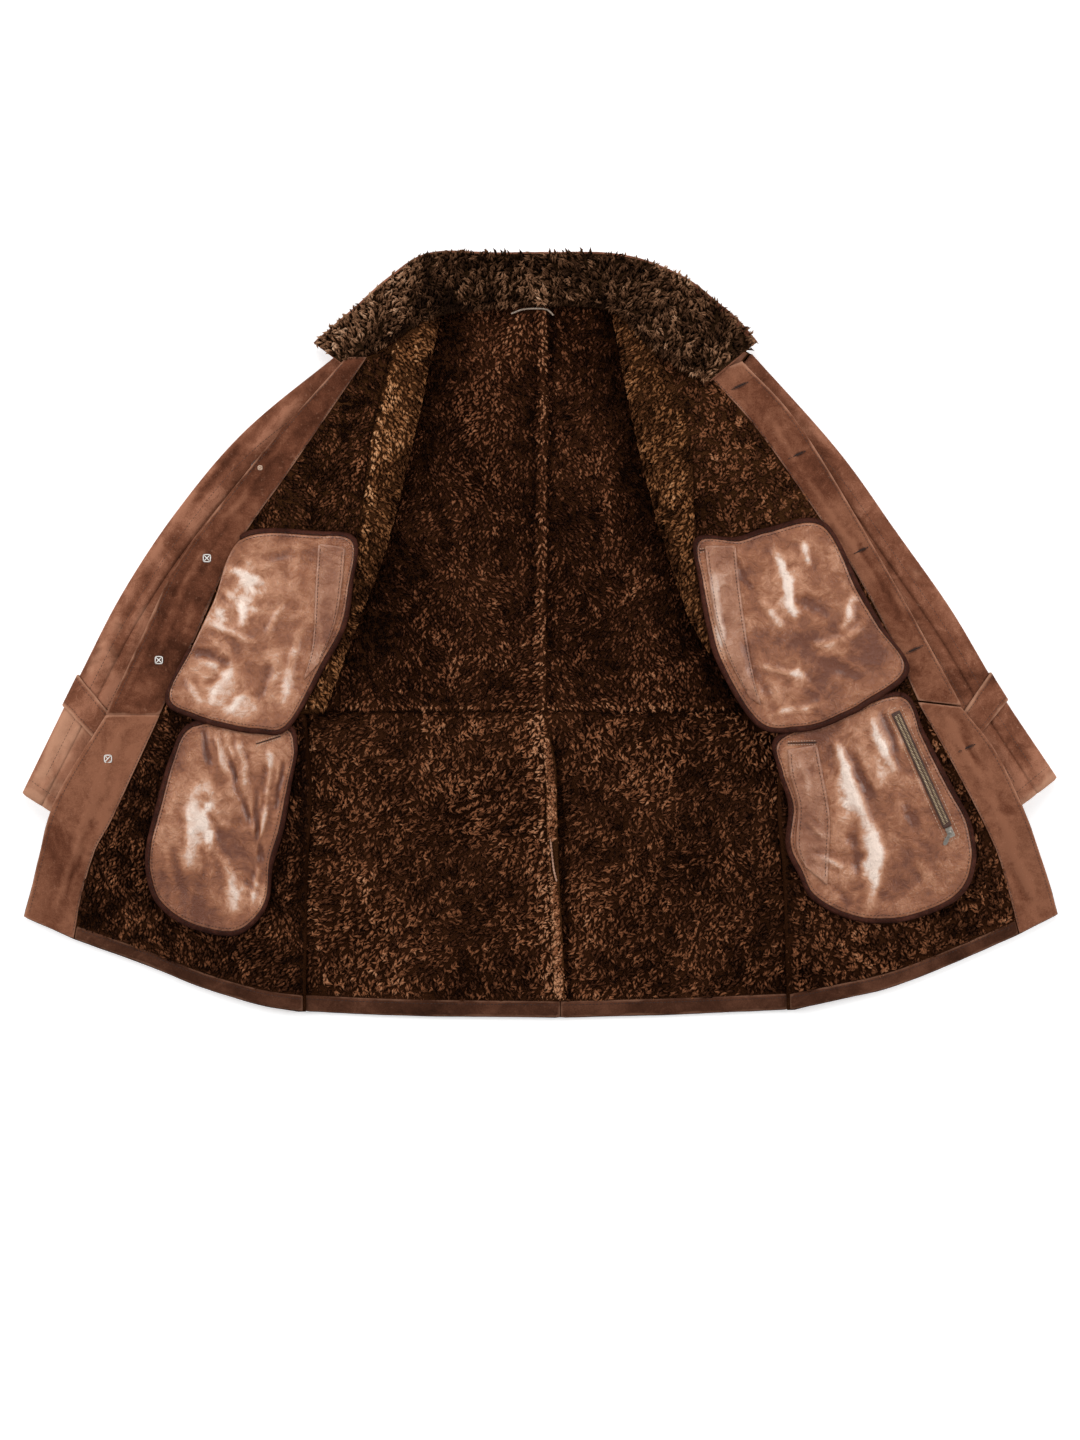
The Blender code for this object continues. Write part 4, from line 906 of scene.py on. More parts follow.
def sew():
    """Stitch lines of the hems, facings, sleeves, straps and pockets."""
    dark = [name for name in SEAM_LINES if name.startswith("pocket")]
    for node, lines in SEAM_LINES.items():
        if not lines:
            continue
        drawn = [line if line.shape[1] == 3 else on_skin(SKINS[node], dense(line)) for line in lines]
        finish = THREAD_DARK if node in dark or node.startswith("hem") else THREAD
        bar_row("stitches_" + node, drawn, 0.42, finish, "suede" if node not in dark else "leather")
    top, end = np.array(ZIP_TOP, float), np.array(ZIP_END, float)
    along = (end - top) / np.linalg.norm(end - top)
    across = np.array([along[1], -along[0]])
    corner = [top - along * 5 - across * 9, end + along * 10 - across * 9, end + along * 10 + across * 9,
              top - along * 5 + across * 9, top - along * 5 - across * 9]
    bar_row("stitches_zip_window", [on_skin(SKINS["pocket_lower_right"], dense(corner))], 0.42,
            THREAD_PALE, "leather")
    for k, (a, b) in enumerate(SLITS):
        node = ("pocket_upper_right", "pocket_lower_left", "pocket_lower_right")[k]
        a, b = np.array(a, float), np.array(b, float)
        side = np.array([-(b - a)[1], (b - a)[0]]) / np.linalg.norm(b - a)
        line = on_skin(SKINS[node], dense([a, b], 2.0), 0.5 if k != 2 else 1.6)
        # A near-black bar along each slit, painted shadow of its opening.
        bar_row("pocket_slit_%d" % (k + 1), [line], 0.8, SLIT_SHADOW, "leather", pitch=2.0, length=2.6)
        rows = [on_skin(SKINS[node], dense([a + side * o, b + side * o], 2.0), 0.3 if k != 2 else 1.5)
                for o in (-2.2, 2.2)]
        bar_row("pocket_slit_stitches_%d" % (k + 1), rows, 0.4, THREAD_PALE, "leather", pitch=3.2, length=2.2)


def build_thread_marks():
    """White threads that hold the buttons, as a crossed square each, on the left facings."""
    for label, marks, finish in (("white", THREAD_MARKS, THREAD_WHITE), ("faint", FAINT_MARKS, THREAD_PALE)):
        starts, ends = [], []
        for x, y in marks:
            node = "facing_upper_left" if y > 374 else "facing_lower_left"
            half = 4.4 if label == "white" else 2.4
            square = on_skin(SKINS[node], [(x + half * a, y + half * b) for a,
                                           b in ((-1, -1), (1, -1), (1, 1), (-1, 1))],
                             0.55)
            for a, b in ((0, 1), (1, 2), (2, 3), (3, 0), (0, 2), (1, 3)):
                starts.append(square[a])
                ends.append(square[b] + (0, 0, 0.3 if b - a == 2 else 0))
        bars("button_threads_" + label, starts, ends, 0.75, finish)


def build_buttonholes():
    """Worked buttonholes on the right facings: dark lips round a slit, a near-black bar of painted shadow."""
    turn = math.radians(25)
    long, wide = np.array([math.cos(turn), math.sin(turn), 0]), np.array([-math.sin(turn), math.cos(turn), 0])
    origins, starts, ends = [], [], []
    for x, y in BUTTONHOLES:
        node = "facing_upper_right" if y > 388 else "facing_lower_right"
        middle = on_skin(SKINS[node], [(x, y)], 0.35)[0]
        origins.append(middle)
        tips = on_skin(SKINS[node], [(x - long[0] * 9, y - long[1] * 9),
                                     (x + long[0] * 9, y + long[1] * 9)], 0.5)
        starts.append(tips[0])
        ends.append(tips[1])
    axes = np.repeat(np.stack([long * 11.0, wide * 11.0, np.array([0, 0, 7.0])])[None], len(origins), axis=0)
    copies("buttonhole_lips", LIPS_SHAPE, (np.array(origins), axes), THREAD_DARK)
    bars("buttonhole_slits", starts, ends, 1.0, SLIT_SHADOW)


def build_teeth():
    """Two rows of brass teeth along the zip tape."""
    top, end = np.array(ZIP_TOP, float), np.array(ZIP_END, float)
    along = (end - top) / np.linalg.norm(end - top)
    across = np.array([along[1], -along[0]])
    run = np.arange(4.0, np.linalg.norm(end - top) - 12.0, 1.9)
    origins, axes = [], []
    for side in (-1, 1):
        line = top + along * (run[:, None] + (0.95 if side > 0 else 0.0)) + across * side * 1.9
        points = on_skin(SKINS["zip_tape"], line, 0.35)
        origins.append(points)
        frame_of = np.stack([np.append(-across * side * 2.6, 0), np.append(along * 1.15, 0), [0, 0, 1.1]])
        axes.append(np.repeat(frame_of[None], len(points), axis=0))
    copies("zip_teeth", TOOTH_SHAPE, (np.vstack(origins), np.vstack(axes)), BRASS)


# ---------------------------------------------------------------- fleece locks


def packed_surface():
    """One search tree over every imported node, and which node each face is of."""
    points, faces, owners = [], [], []
    for name, node in NODES.items():
        start = len(points)
        points += [v.co for v in node.data.vertices]
        for polygon in node.data.polygons:
            faces.append([start + k for k in polygon.vertices])
            owners.append(name)
    return BVHTree.FromPolygons(points, faces), owners


ALL_NODES, OWNERS = packed_surface()


def open_above(xy, own):
    """True where nothing but the named nodes lies uppermost."""
    seen = np.ones(len(xy), bool)
    for k, (x, y) in enumerate(to_world(np.column_stack([xy, np.zeros(len(xy))]))[:, :2]):
        hit = ALL_NODES.ray_cast(Vector((x, y, 1.0)), Vector((0, 0, -1)))
        seen[k] = hit[2] is None or OWNERS[hit[2]] in own
    return seen


def clump_of(xy, size, seed):
    """Vector from each root to the middle of its curl, and a number of the curl's own."""
    rng = np.random.default_rng(seed)
    jitter, own = rng.random((64, 64, 2)), rng.random((64, 64))
    cell = np.floor(xy / size).astype(int)
    best, to_middle, number = np.full(len(xy), 1e9), np.zeros_like(xy), np.zeros(len(xy))
    for dx in (-1, 0, 1):
        for dy in (-1, 0, 1):
            near = cell + (dx, dy)
            index = (near[:, 0] % 64, near[:, 1] % 64)
            step = (near + jitter[index]) * size - xy
            off = np.linalg.norm(step, axis=1)
            closer = off < best
            best = np.where(closer, off, best)
            to_middle[closer] = step[closer]
            number = np.where(closer, own[index], number)
    return to_middle, number


def grow_locks(name, grid, own, finish, seed, spacing=3.5, reach=6.4, rise=4.4, width=1.6, curl=7.0, draw=0.5,
               flow=(0.0, -1.0), swirl=1.5, tone=0.0, bare=None, body="coat"):
    """Wool over the open part of a panel's hide, each lock a closed three-sided curl."""
    rng = np.random.default_rng(seed)
    a, b, c, d = grid[:-1, :-1], grid[1:, :-1], grid[1:, 1:], grid[:-1, 1:]
    facing = np.cross(c - a, d - b) / 2
    if facing[:, -1, 2].mean() < 0:
        facing = -facing
    area = np.linalg.norm(facing, axis=-1)
    number = np.floor(area / spacing**2 + rng.random(area.shape)).astype(int)
    i, j = np.repeat(np.argwhere(number > 0), number[number > 0], axis=0).T
    u, v = rng.random((2, len(i), 1))
    root = (a[i, j] * (1 - u) + b[i, j] * u) * (1 - v) + (d[i, j] * (1 - u) + c[i, j] * u) * v
    up = facing[i, j] / area[i, j][:, None]
    keep = up[:, 2] > -0.25
    if bare is not None:
        keep &= ~bare(root)
    keep[keep] = open_above(root[keep, :2], own)
    root, up = root[keep], up[keep]
    count = len(root)
    to_middle, curl_tone = clump_of(root[:, :2] + root[:, 2:] * 0.7, curl, seed + 1)
    turn = layered(root, 42, seed + 2) * swirl + rng.normal(0, 0.30, count)
    lean = np.stack([flow[0] * np.cos(turn) - flow[1] * np.sin(turn),
                     flow[0] * np.sin(turn) + flow[1] * np.cos(turn)], 1)
    lean = np.column_stack([lean + to_middle / curl * draw * 2, np.zeros(count)])
    lean -= up * np.sum(lean * up, axis=1, keepdims=True)
    lean /= np.maximum(np.linalg.norm(lean, axis=1, keepdims=True), 1e-6)
    beside = np.cross(up, lean)
    size = rng.uniform(0.7, 1.3, count)
    size *= np.where(open_above((root + lean * reach)[:, :2], own), 1.0, 0.45)
    twist = rng.choice((-1.0, 1.0), count) * rng.uniform(0.2, 1.0, count) * reach * 0.28
    rings, along = [], []
    for t, thick in ((0.0, 0.85), (0.55, 0.95)):
        slope = 0.35 + 1.1 * t
        middle = root + up * ((rise * math.sin(t * 1.9) - 0.9 * (t == 0)) * size)[:, None]
        middle = middle + lean * (reach * t**1.5 * size)[:,
                                                         None] + beside * (twist * math.sin(t * 2.6))[:, None]
        across = up * math.cos(slope) - lean * math.sin(slope)
        for angle in (90, 210, 330):
            side, over = math.cos(math.radians(angle)), math.sin(math.radians(angle))
            rings.append(middle + (beside * side + across * over * 0.7) * (width * thick * size)[:, None])
            along.append(np.full(count, t))
    rings.append(root + up * (rise * 0.90 * size)[:, None] + lean * (reach * size)[:, None]
                 + beside * (twist * math.sin(2.6))[:, None])
    along.append(np.ones(count))
    points = np.stack(rings, axis=1)
    base = (np.arange(count) * 7)[:, None]
    quads = (base[:, None] + np.array([(0, 1, 4, 3), (1, 2, 5, 4), (2, 0, 3, 5)])[None]).reshape(-1, 4)
    ends = (base[:, None] + np.array([(3, 4, 6), (4, 5, 6), (5, 3, 6), (2, 1, 0)])[None]).reshape(-1, 3)
    world = to_world(points.reshape(-1, 3))
    if volume(world, [quads, ends]) < 0:
        quads, ends = quads[:, ::-1], ends[:, ::-1]
    shade = 0.47 + tone + 0.26 * layered(root, 80, seed + 3) + 0.30 * layered(root, 16, seed + 4, 2)
    # The ridge tone adds painted light on ridges and painted shade in grooves and beside the folds.
    shade += ridge_relief(root[:, :2])[1] + (curl_tone - 0.5) * 0.50 + rng.normal(0, 0.07, count)
    marks = {"along": np.stack(along, axis=1), "tone": np.repeat(np.clip(shade, 0, 1.3), 7)}
    locks = build_mesh(name, world, [quads, ends], marks, None, [finish])
    return settled(locks, body)


# ---------------------------------------------------------------- panels


def finish_panel(node, obj, tufts=()):
    settled(obj)
    declare(obj, node, tufts)
    SKINS[node] = obj


def fleece_panel(node, plan, upper, lower, ground, locks, slot, seed, grown=np.s_[:, :], **growth):
    """Hide with its wool side up, and the locks on it."""
    height, tone = ridge_relief(plan)
    soft = layered(plan, 55, seed) * 1.1 + layered(plan, 16, seed + 5, 2) * 0.5
    top = upper + height + soft
    top = np.maximum(top, lower + 1.6)
    over = np.dstack([plan, top])
    made = cloth(node + "_hide", np.dstack([plan, lower]), over, [ground, SUEDE_BACK],
                 {"tone": tone + layered(plan, 70, seed), "relief": soft, "worn": np.zeros(plan.shape[:2])})
    tufts = grow_locks(node + "_fleece", over[grown], {node}, locks, seed + 11, **growth)
    finish_panel(node, made, [tufts])


def back_plan(rails):
    rows = even(88)
    sides = spline(rails["armhole"][:-1] + rails["side_seam"], rows)
    plan = plan_between([sides, spline(CENTRE_SEAM, rows)], [46])
    chord = plan[0].copy()
    bow = spline(rails["back_top"], even(47)) - chord
    plan += bow[None] * np.clip(1 - rows * 14, 0, 1)[:, None, None] * 0.996
    return plan


def skirt_rows(count):
    return np.r_[np.linspace(0, HEM_SHARE, count), np.linspace(HEM_SHARE, 1, 6)[1:]]


def back_skirt_plan(rails):
    rows = skirt_rows(60)
    plan = plan_between([spline(rails["skirt_side"], rows), spline(VENT, rows)], [50])
    bow = spline(rails["back_hem"], even(51)) - plan[-1]
    return plan + bow[None] * np.clip(rows**4, 0, 1)[:, None, None] * 0.99, rows


def front_plan(rails):
    rows = even(96)
    lines = [spline(rails[name], rows) for name in ("strip_seam", "facing_edge", "front_edge")]
    return plan_between(lines, [24, 12])


def front_skirt_plan(rails):
    rows = skirt_rows(60)
    lines = [spline(rails[name], rows) for name in ("skirt_side", "skirt_facing", "skirt_edge")]
    plan = plan_between(lines, [44, 14])
    hem = spline(rails["hem"], even(45))
    chord = plan[-1, :45].copy()
    pull = np.minimum(1, rows / HEM_SHARE) ** 3
    bow = np.zeros_like(plan[0])
    bow[:45] = hem - chord
    bow[45:] = bow[44] * np.linspace(1, 0, 15)[1:, None]
    return plan + bow[None] * pull[:, None, None] * 0.99, rows


def laid_strip(name, node, plan, finishes, folds=(), seed=1, blur=9.0, marks_from=6.0,
               wave=0.25, shade=0.0):
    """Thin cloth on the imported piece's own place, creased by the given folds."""
    share = edge_share(plan, marks_from)
    relief = fold_relief(plan, folds, seed) + layered(plan, 24, seed + 3) * wave
    relief *= 0.35 + 0.65 * edge_share(plan, 12.0)
    upper = Height(node, True, blur)(plan) + relief
    lower = np.minimum(Height(node, False, blur)(plan) + relief * 0.9, upper - 1.2)
    made = cloth(name, np.dstack([plan, lower]), np.dstack([plan, upper]), finishes,
                 {"relief": relief + shade, "worn": (1 - share) * 0.8, "tone": relief})
    finish_panel(node, made)
    return made


def build_backs():
    for seed, (side, rails) in enumerate(SIDES.items(), start=1):
        plan = back_plan(rails)
        flat = np.zeros(plan.shape[:2])
        fleece_panel("back_upper_" + side, plan, flat + 12 - PILE_SUNK, flat, GROUND, LOCKS, "fleece",
                     100 * seed,
                     tone=-0.02 if side == "left" else -0.04, spacing=3.85)
        plan, rows = back_skirt_plan(rails)
        thick = np.interp(rows, [0, HEM_SHARE - 0.14, HEM_SHARE, 1], [12, 12, 7, 5])
        sunk = np.interp(rows, [0, HEM_SHARE - 0.05, HEM_SHARE, 1], [PILE_SUNK, PILE_SUNK, 0.5, 0.5])
        flat = np.zeros(plan.shape[:2])
        fleece_panel("back_skirt_" + side, plan, flat + (thick - sunk)[:, None], flat, GROUND,
                     LOCKS_FRONT, "fleece",
                     100 * seed + 30, np.s_[:-5], tone=0.02, spacing=3.95, reach=7.6, curl=8.5, draw=0.8,
                     flow=(-0.5, -0.85))
        hem = plan[-6:].copy()
        hem[:, 0] += (hem[:, 1] - hem[:, 0]) * 0.2
        hem[:, -1] += (hem[:, -2] - hem[:, -1]) * 0.2
        laid_strip("hem_back_%s_suede" % side, "hem_back_" + side, hem, [SUEDE_HEM],
                   seed=300 + seed, blur=6.0,
                   marks_from=2.0)
        SEAM_LINES["hem_back_" + side] = [hem[1]]


def build_fronts():
    for seed, (side, rails) in enumerate(SIDES.items(), start=1):
        for part, made in (("upper", front_plan(rails)), ("skirt", front_skirt_plan(rails))):
            plan, rows = made if part == "skirt" else (made, even(96))
            body_columns = 44 if part == "skirt" else 24
            node = "front_%s_%s" % (part, side)
            across = np.arange(plan.shape[1])
            sunk = np.interp(across, [0, body_columns - 3, body_columns], [PILE_SUNK, PILE_SUNK, 0.6])
            sunk = np.repeat(sunk[None], len(plan), axis=0)
            if part == "skirt":
                hem = np.interp(rows, [0, HEM_SHARE - 0.05, HEM_SHARE, 1], [1, 1, 0, 0])[:, None]
                sunk = 0.6 + (sunk - 0.6) * hem
            upper = Height(node, True, 14.0)(plan) - sunk
            lower = Height(node, False, 14.0)(plan)
            if part == "skirt":
                turned = np.interp(across, [0, 1, 4], [1.0, 1.0, 0.0])[None]
                lower = lower + (np.minimum(lower, SIDE_SEAM_FOOT) - lower) * turned
            fleece_panel(node, plan, upper, lower, GROUND if part == "skirt" else GROUND_GOLD,
                         LOCKS_FRONT, "fleece",
                         400 + 100 * seed + len(part),
                         np.s_[: -5 if part == "skirt" else None, : body_columns + 1],
                         tone=-0.16 if side == "left" else 0.0,
                         curl=8.0 if side == "left" else 12.0, draw=0.4 if side == "left" else 1.0)
            name = "facing_%s_%s" % ("lower" if part == "skirt" else "upper", side)
            facing = plan[:, body_columns:].copy()
            laid_strip(name + "_suede", name, facing, [SUEDE], FOLDS[name],
                       600 + seed * 10 + len(part), blur=10.0,
                       marks_from=3.5, wave=0.6, shade=FACING_SHADE[name])
            SEAM_LINES[name] = [facing[2:-2, -2], facing[2:-2, 0] * 0.72 + facing[2:-2, 1] * 0.28]
        hem = front_skirt_plan(rails)[0][-6:, :45].copy()
        hem[:, 0] += (hem[:, 1] - hem[:, 0]) * 0.3
        hem[:, -1] += (hem[:, -2] - hem[:, -1]) * 0.4
        laid_strip("hem_front_%s_suede" % side, "hem_front_" + side, hem, [SUEDE_HEM],
                   seed=320 + seed, blur=6.0,
                   marks_from=2.0)
        SEAM_LINES["hem_front_" + side] = [hem[1]]


def build_side_fronts():
    """Strip of gold fleece that turns over at the fold, from the armhole and side seam out to the pockets."""
    rows = 90
    for seed, (side, rails) in enumerate(SIDES.items(), start=1):
        node = "side_front_" + side
        share = even(rows)
        root = spline(rails["armhole"][:-1] + rails["side_seam"], share)
        fold = spline(rails["fold"], share)
        seam = spline(rails["strip_seam"], share)
        top = Height(node, True, 16.0)
        lower, upper = np.zeros((rows, 45, 3)), np.zeros((rows, 45, 3))
        for i in range(rows):
            out = (fold[i] - root[i]) / np.linalg.norm(fold[i] - root[i])
            centre = fold[i] - out * ROLL_INSET
            rise = max(ROLL_TOP, float(top((centre + seam[i]) / 2)) - 4.5)
            radius = (rise - ROLL_LEG) / 2
            line = [(*(root[i] + out * 3.0), ROLL_LEG), (*((root[i] + centre) / 2), ROLL_LEG),
                    (*centre, ROLL_LEG)]
            for turn in (-60, -25, 10, 45):
                c, s = math.cos(math.radians(turn)), math.sin(math.radians(turn))
                line.append((*(centre + out * ROLL_BEND * c), ROLL_LEG + radius + radius * s))
            line.append((*centre, rise))
            back = (seam[i] - fold[i]) / np.linalg.norm(seam[i] - fold[i])
            line += [(*(centre * (1 - t) + (seam[i] - back * 0.21) * t), rise)
                     for t in (0.25, 0.5, 0.75, 1.0)]
            line = spline(line, np.r_[np.linspace(0, 0.4, 8)[:-1], np.linspace(0.4, 1.0, 38)])
            step = np.gradient(line, axis=0)
            flat = np.stack([step[:, 0] * out[0] + step[:, 1] * out[1], step[:, 2]], axis=1)
            flat /= np.linalg.norm(flat, axis=1, keepdims=True)
            shift = np.column_stack([flat[:, 1:] * out, -flat[:, 0]])
            lower[i], upper[i] = line - shift * 4.4, line + shift * (4.5 - PILE_SUNK)
        plan = upper[..., :2]
        soft = layered(plan, 40, 700 + seed) * 0.9
        upper[..., 2] += soft * (upper[..., 2] > 24)
        made = cloth(node + "_hide", lower, upper, [GROUND_GOLD, SUEDE_BACK],
                     {"tone": 0.3 + soft, "relief": soft, "worn": soft * 0})
        tufts = grow_locks(node + "_fleece", upper[:, 7:], {node}, LOCKS_GOLD, 710 + seed, reach=7.0,
                           swirl=0.9,
                           tone=0.06 if side == "left" else 0.0,
                           flow=(0.5, -0.8) if side == "left" else (-0.5, -0.8))
        finish_panel(node, made, [tufts])


def sleeve_skins(rails, stations, turns):
    """Outer and inner skin of a flattened two-piece sleeve: station by point round the tube."""
    share = even(stations)
    outer, inner = spline(rails["sleeve_outer"], share), spline(rails["sleeve_inner"], share)
    heights = np.interp(share, *zip(*SLEEVE_HEIGHTS))
    skins = np.zeros((2, stations, len(turns), 3))
    armhole = spline(rails["armhole"], even(41))
    c, s = np.cos(turns), np.sin(turns)
    for i in range(stations):
        width = np.linalg.norm(inner[i] - outer[i])
        across = width / 2 * (1 + np.copysign(np.abs(c) ** (2 / 2.4), c))
        power = np.where(s > 0, 2 / 2.3, 2 / 5.0)
        up = heights[i] / 2 * (1 + np.copysign(np.abs(s) ** power, s))
        profile = np.column_stack([across, np.where(s < 0, np.maximum(0.0, up - 1.0), up)])
        loop = np.vstack([profile[-2], profile, profile[1]])
        tangent = loop[2:] - loop[:-2]
        normal = np.stack([tangent[:, 1], -tangent[:, 0]], axis=1)
        normal /= np.maximum(np.linalg.norm(normal, axis=1, keepdims=True), 1e-9)
        if np.dot(-normal[0], profile.mean(axis=0) - profile[0]) < 0:
            normal = -normal
        for k, section in enumerate((profile, profile - normal * SLEEVE_WALL)):
            v = np.clip(section[:, 0] / width, 0, 1)
            place = outer[i] + (inner[i] - outer[i]) * v[:, None]
            cap = max(0.0, 1 - share[i] / 0.3) ** 2
            seam = np.stack([np.interp(v, even(41), armhole[:, axis]) for axis in (0, 1)], axis=1)
            straight = outer[0] + (inner[0] - outer[0]) * v[:, None]
            out = (outer[i] - inner[i]) / width
            down = np.array([out[1], -out[0]])
            down *= math.copysign(1.0, np.dot(down, outer[-1] - outer[0]))
            place = place + (seam - straight + down * 3.2 * (1 + 2.2 * v[:, None] ** 4)) * cap
            skins[k, i] = np.column_stack([place, section[:, 1]])
    return skins


def build_sleeves():
    knots = np.array([124, 140, 156, 170, 184, 200, 220, 250, 290, 320, 336, 352, 368, 382, 398, 418, 440,
                      462, 484.0])
    degrees = np.interp(np.linspace(0, 18, 91), np.arange(19), knots)
    seam = 50
    for seed, (side, rails) in enumerate(SIDES.items(), start=1):
        skins = sleeve_skins(rails, SLEEVE_STATIONS, np.radians(degrees))
        outer = skins[0]
        plan = outer[..., :2]
        own = {stem + side for stem in ("sleeve_over_", "sleeve_under_", "cuff_strap_")}
        free = open_above(plan.reshape(-1, 2), own).reshape(plan.shape[:2]).astype(float)
        free = gaussian(free, 2.2)
        over = np.clip(np.sin(np.radians(degrees)) * 2.2, 0, 1)[None]
        relief = fold_relief(plan, FOLDS["sleeve_" + side], 800 + seed) + layered(plan, 38, 810 + seed) * 0.9
        relief = relief * free * over
        groove = sum(np.exp(-((degrees - turn) / 3.0) ** 2) for turn in SLEEVE_SEAMS)
        relief -= groove[None] * 1.3
        station = even(SLEEVE_STATIONS)
        hem_line = np.exp(-((station - 0.972) / 0.006) ** 2)[:, None] * over
        outer[..., 2] += relief - hem_line * 0.7
        # Pale mark: the cuff edge and seams are wear. The band on the outer slope, which grows paler toward
        # the cuff, and the left sleeve's band near the cuff are painted light.
        worn = (np.clip(1 - np.abs(degrees - 150) / 40, 0, 1)[None]
                * np.clip(station[:, None] * 1.3 - 0.2, 0, 1) * 0.5)
        worn = worn + np.clip((station[:, None] - 0.982) * 60, 0, 1) + groove[None] * 0.25
        if side == "left":
            worn = worn + np.exp(-((station[:, None] - 0.88) / 0.13) ** 2) * 0.55 * over
        for stem, part in (("sleeve_over_", slice(0, seam + 1)), ("sleeve_under_", slice(seam, 91))):
            grids = [skins[k][:, part].copy() for k in (0, 1)]
            for grid in grids:
                for edge, beside in ((0, 1), (-1, -2)):
                    step = grid[:, beside] - grid[:, edge]
                    grid[:, edge] += step / np.linalg.norm(step, axis=-1, keepdims=True) * SEAM / 2
            SEAM_LINES[stem + side] = []
            # The relief mark also grows toward the cuff, which makes the suede lighter there: painted light.
            made = cloth(stem + side + "_skin", grids[1], grids[0], [SLEEVE_SUEDE, GROUND_GOLD],
                         {"relief": relief[:, part] + (1.2 if side == "left" else 0.6) * station[:, None]
                          * np.ones_like(relief[:, part]),
                          "worn": worn[:, part], "tone": relief[:, part]}, bulge=0.2)
            finish_panel(stem + side, made)
        order = np.r_[np.where(degrees >= 415)[0][:-1], np.where(degrees <= 186)[0]]
        SEAM_LINES["sleeve_over_" + side] += [skins[0][106, order]]
        for beside in (87, 4):
            SEAM_LINES["sleeve_over_" + side] += [skins[0][3:105, beside]]
        order = np.r_[np.where(degrees >= 438)[0][:-1], np.where(degrees <= 202)[0]]
        at = np.linspace(0.765, 0.825, 9) * 109
        around = np.array([skins[0][int(k)] * (1 - k + int(k)) + skins[0][int(k) + 1] * (k - int(k))
                           for k in at])
        around = around[:, order]
        normal = np.cross(np.gradient(around, axis=1), np.gradient(around, axis=0))
        normal /= np.maximum(np.linalg.norm(normal, axis=-1, keepdims=True), 1e-9)
        if normal[4, 6, 2] < 0:
            normal = -normal
        ends = np.minimum(np.arange(9), np.arange(9)[::-1])[:, None] * np.ones(len(order))[None]
        lift = normal * 3.6
        SEAM_LINES["cuff_strap_" + side] = [around[1, 1:-1] + lift[1, 1:-1],
                                            around[-2, 1:-1] + lift[-2, 1:-1],
                                            around[1:-1, 1] + lift[1:-1, 1],
                                            around[1:-1, -2] + lift[1:-1, -2]]
        made = cloth("cuff_strap_" + side + "_band", around + normal * 0.9, around + normal * 3.5,
                     [SLEEVE_SUEDE],
                     {"relief": ends * 0, "worn": np.clip(1 - ends / 1.5, 0, 1), "tone": ends * 0})
        finish_panel("cuff_strap_" + side, made)


def build_collar():
    share = even(110)
    plan = plan_between([spline(COLLAR_INNER, share) - (0, COLLAR_LAP), spline(COLLAR_OUTER, share)], [16])
    across = np.linspace(0, 1, 17)[None]
    upper = Height("collar", True, 16.0)(plan) - np.interp(across, [0, 0.85, 1], [5.0, COLLAR_SUNK, 3.5])
    upper += layered(plan, 40, 851) * 1.8
    lower = Height("collar", False, 16.0)(plan)
    upper = np.maximum(upper, lower + 2.0)
    over = np.dstack([plan, upper])
    turned = (np.arange(16) >= 15)[None] & ((plan[:-1, :1, 0] > 128) | (plan[:-1, :1, 0] < -250))
    made = cloth("collar_hide", np.dstack([plan, lower]), over, [GROUND_COLLAR, SLEEVE_SUEDE],
                 {"tone": layered(plan, 60, 852), "relief": layered(plan, 20, 854) * 0.5,
                  "worn": upper * 0 + 0.15},
                 rim_kind=(rim_loop(*plan.shape[:2])[:, 1] > 0).astype(int),
                 over_kind=turned.ravel().astype(int))
    tufts = grow_locks("collar_fleece", over, {"collar"}, LOCKS_COLLAR, 853, spacing=3.1, reach=7.2, rise=7.2,
                       width=1.45, curl=9.0, draw=0.75, flow=(0.1, 0.9), swirl=2.4, tone=-0.05)
    body_under = {"collar"} | {stem + side for stem in ("back_upper_", "side_front_", "front_upper_")
                               for side in SIDES}
    neck = grow_locks("collar_neck_fleece", over[:, :3], body_under, LOCKS_COLLAR, 855, spacing=2.2,
                      reach=8.6, rise=4.6,
                      width=1.3, curl=8.0, draw=0.6, flow=(0.0, -1.0), swirl=1.2, tone=-0.14)
    finish_panel("collar", made, [tufts, neck])


# ---------------------------------------------------------------- pockets


def bag_relief(name, xy, seed):
    """Creases and drawn wrinkles of a pocket bag; still round the zip's slider."""
    relief = fold_relief(xy, FOLDS[name], seed)
    drawn = 1 - np.abs(layered(xy + lumps(xy, 30, seed + 7)[..., None] * 9, 26, seed + 2, 3)) * 2
    relief = relief * 1.25 + np.clip(drawn, -0.3, 1) * 1.1 + layered(xy, 60, seed + 5) * 1.6
    calm = 1 - np.exp(-((np.linalg.norm(xy - np.array(ZIP_END), axis=-1) / 26) ** 2))
    return relief * (calm if name == "lower_right" else 1.0)


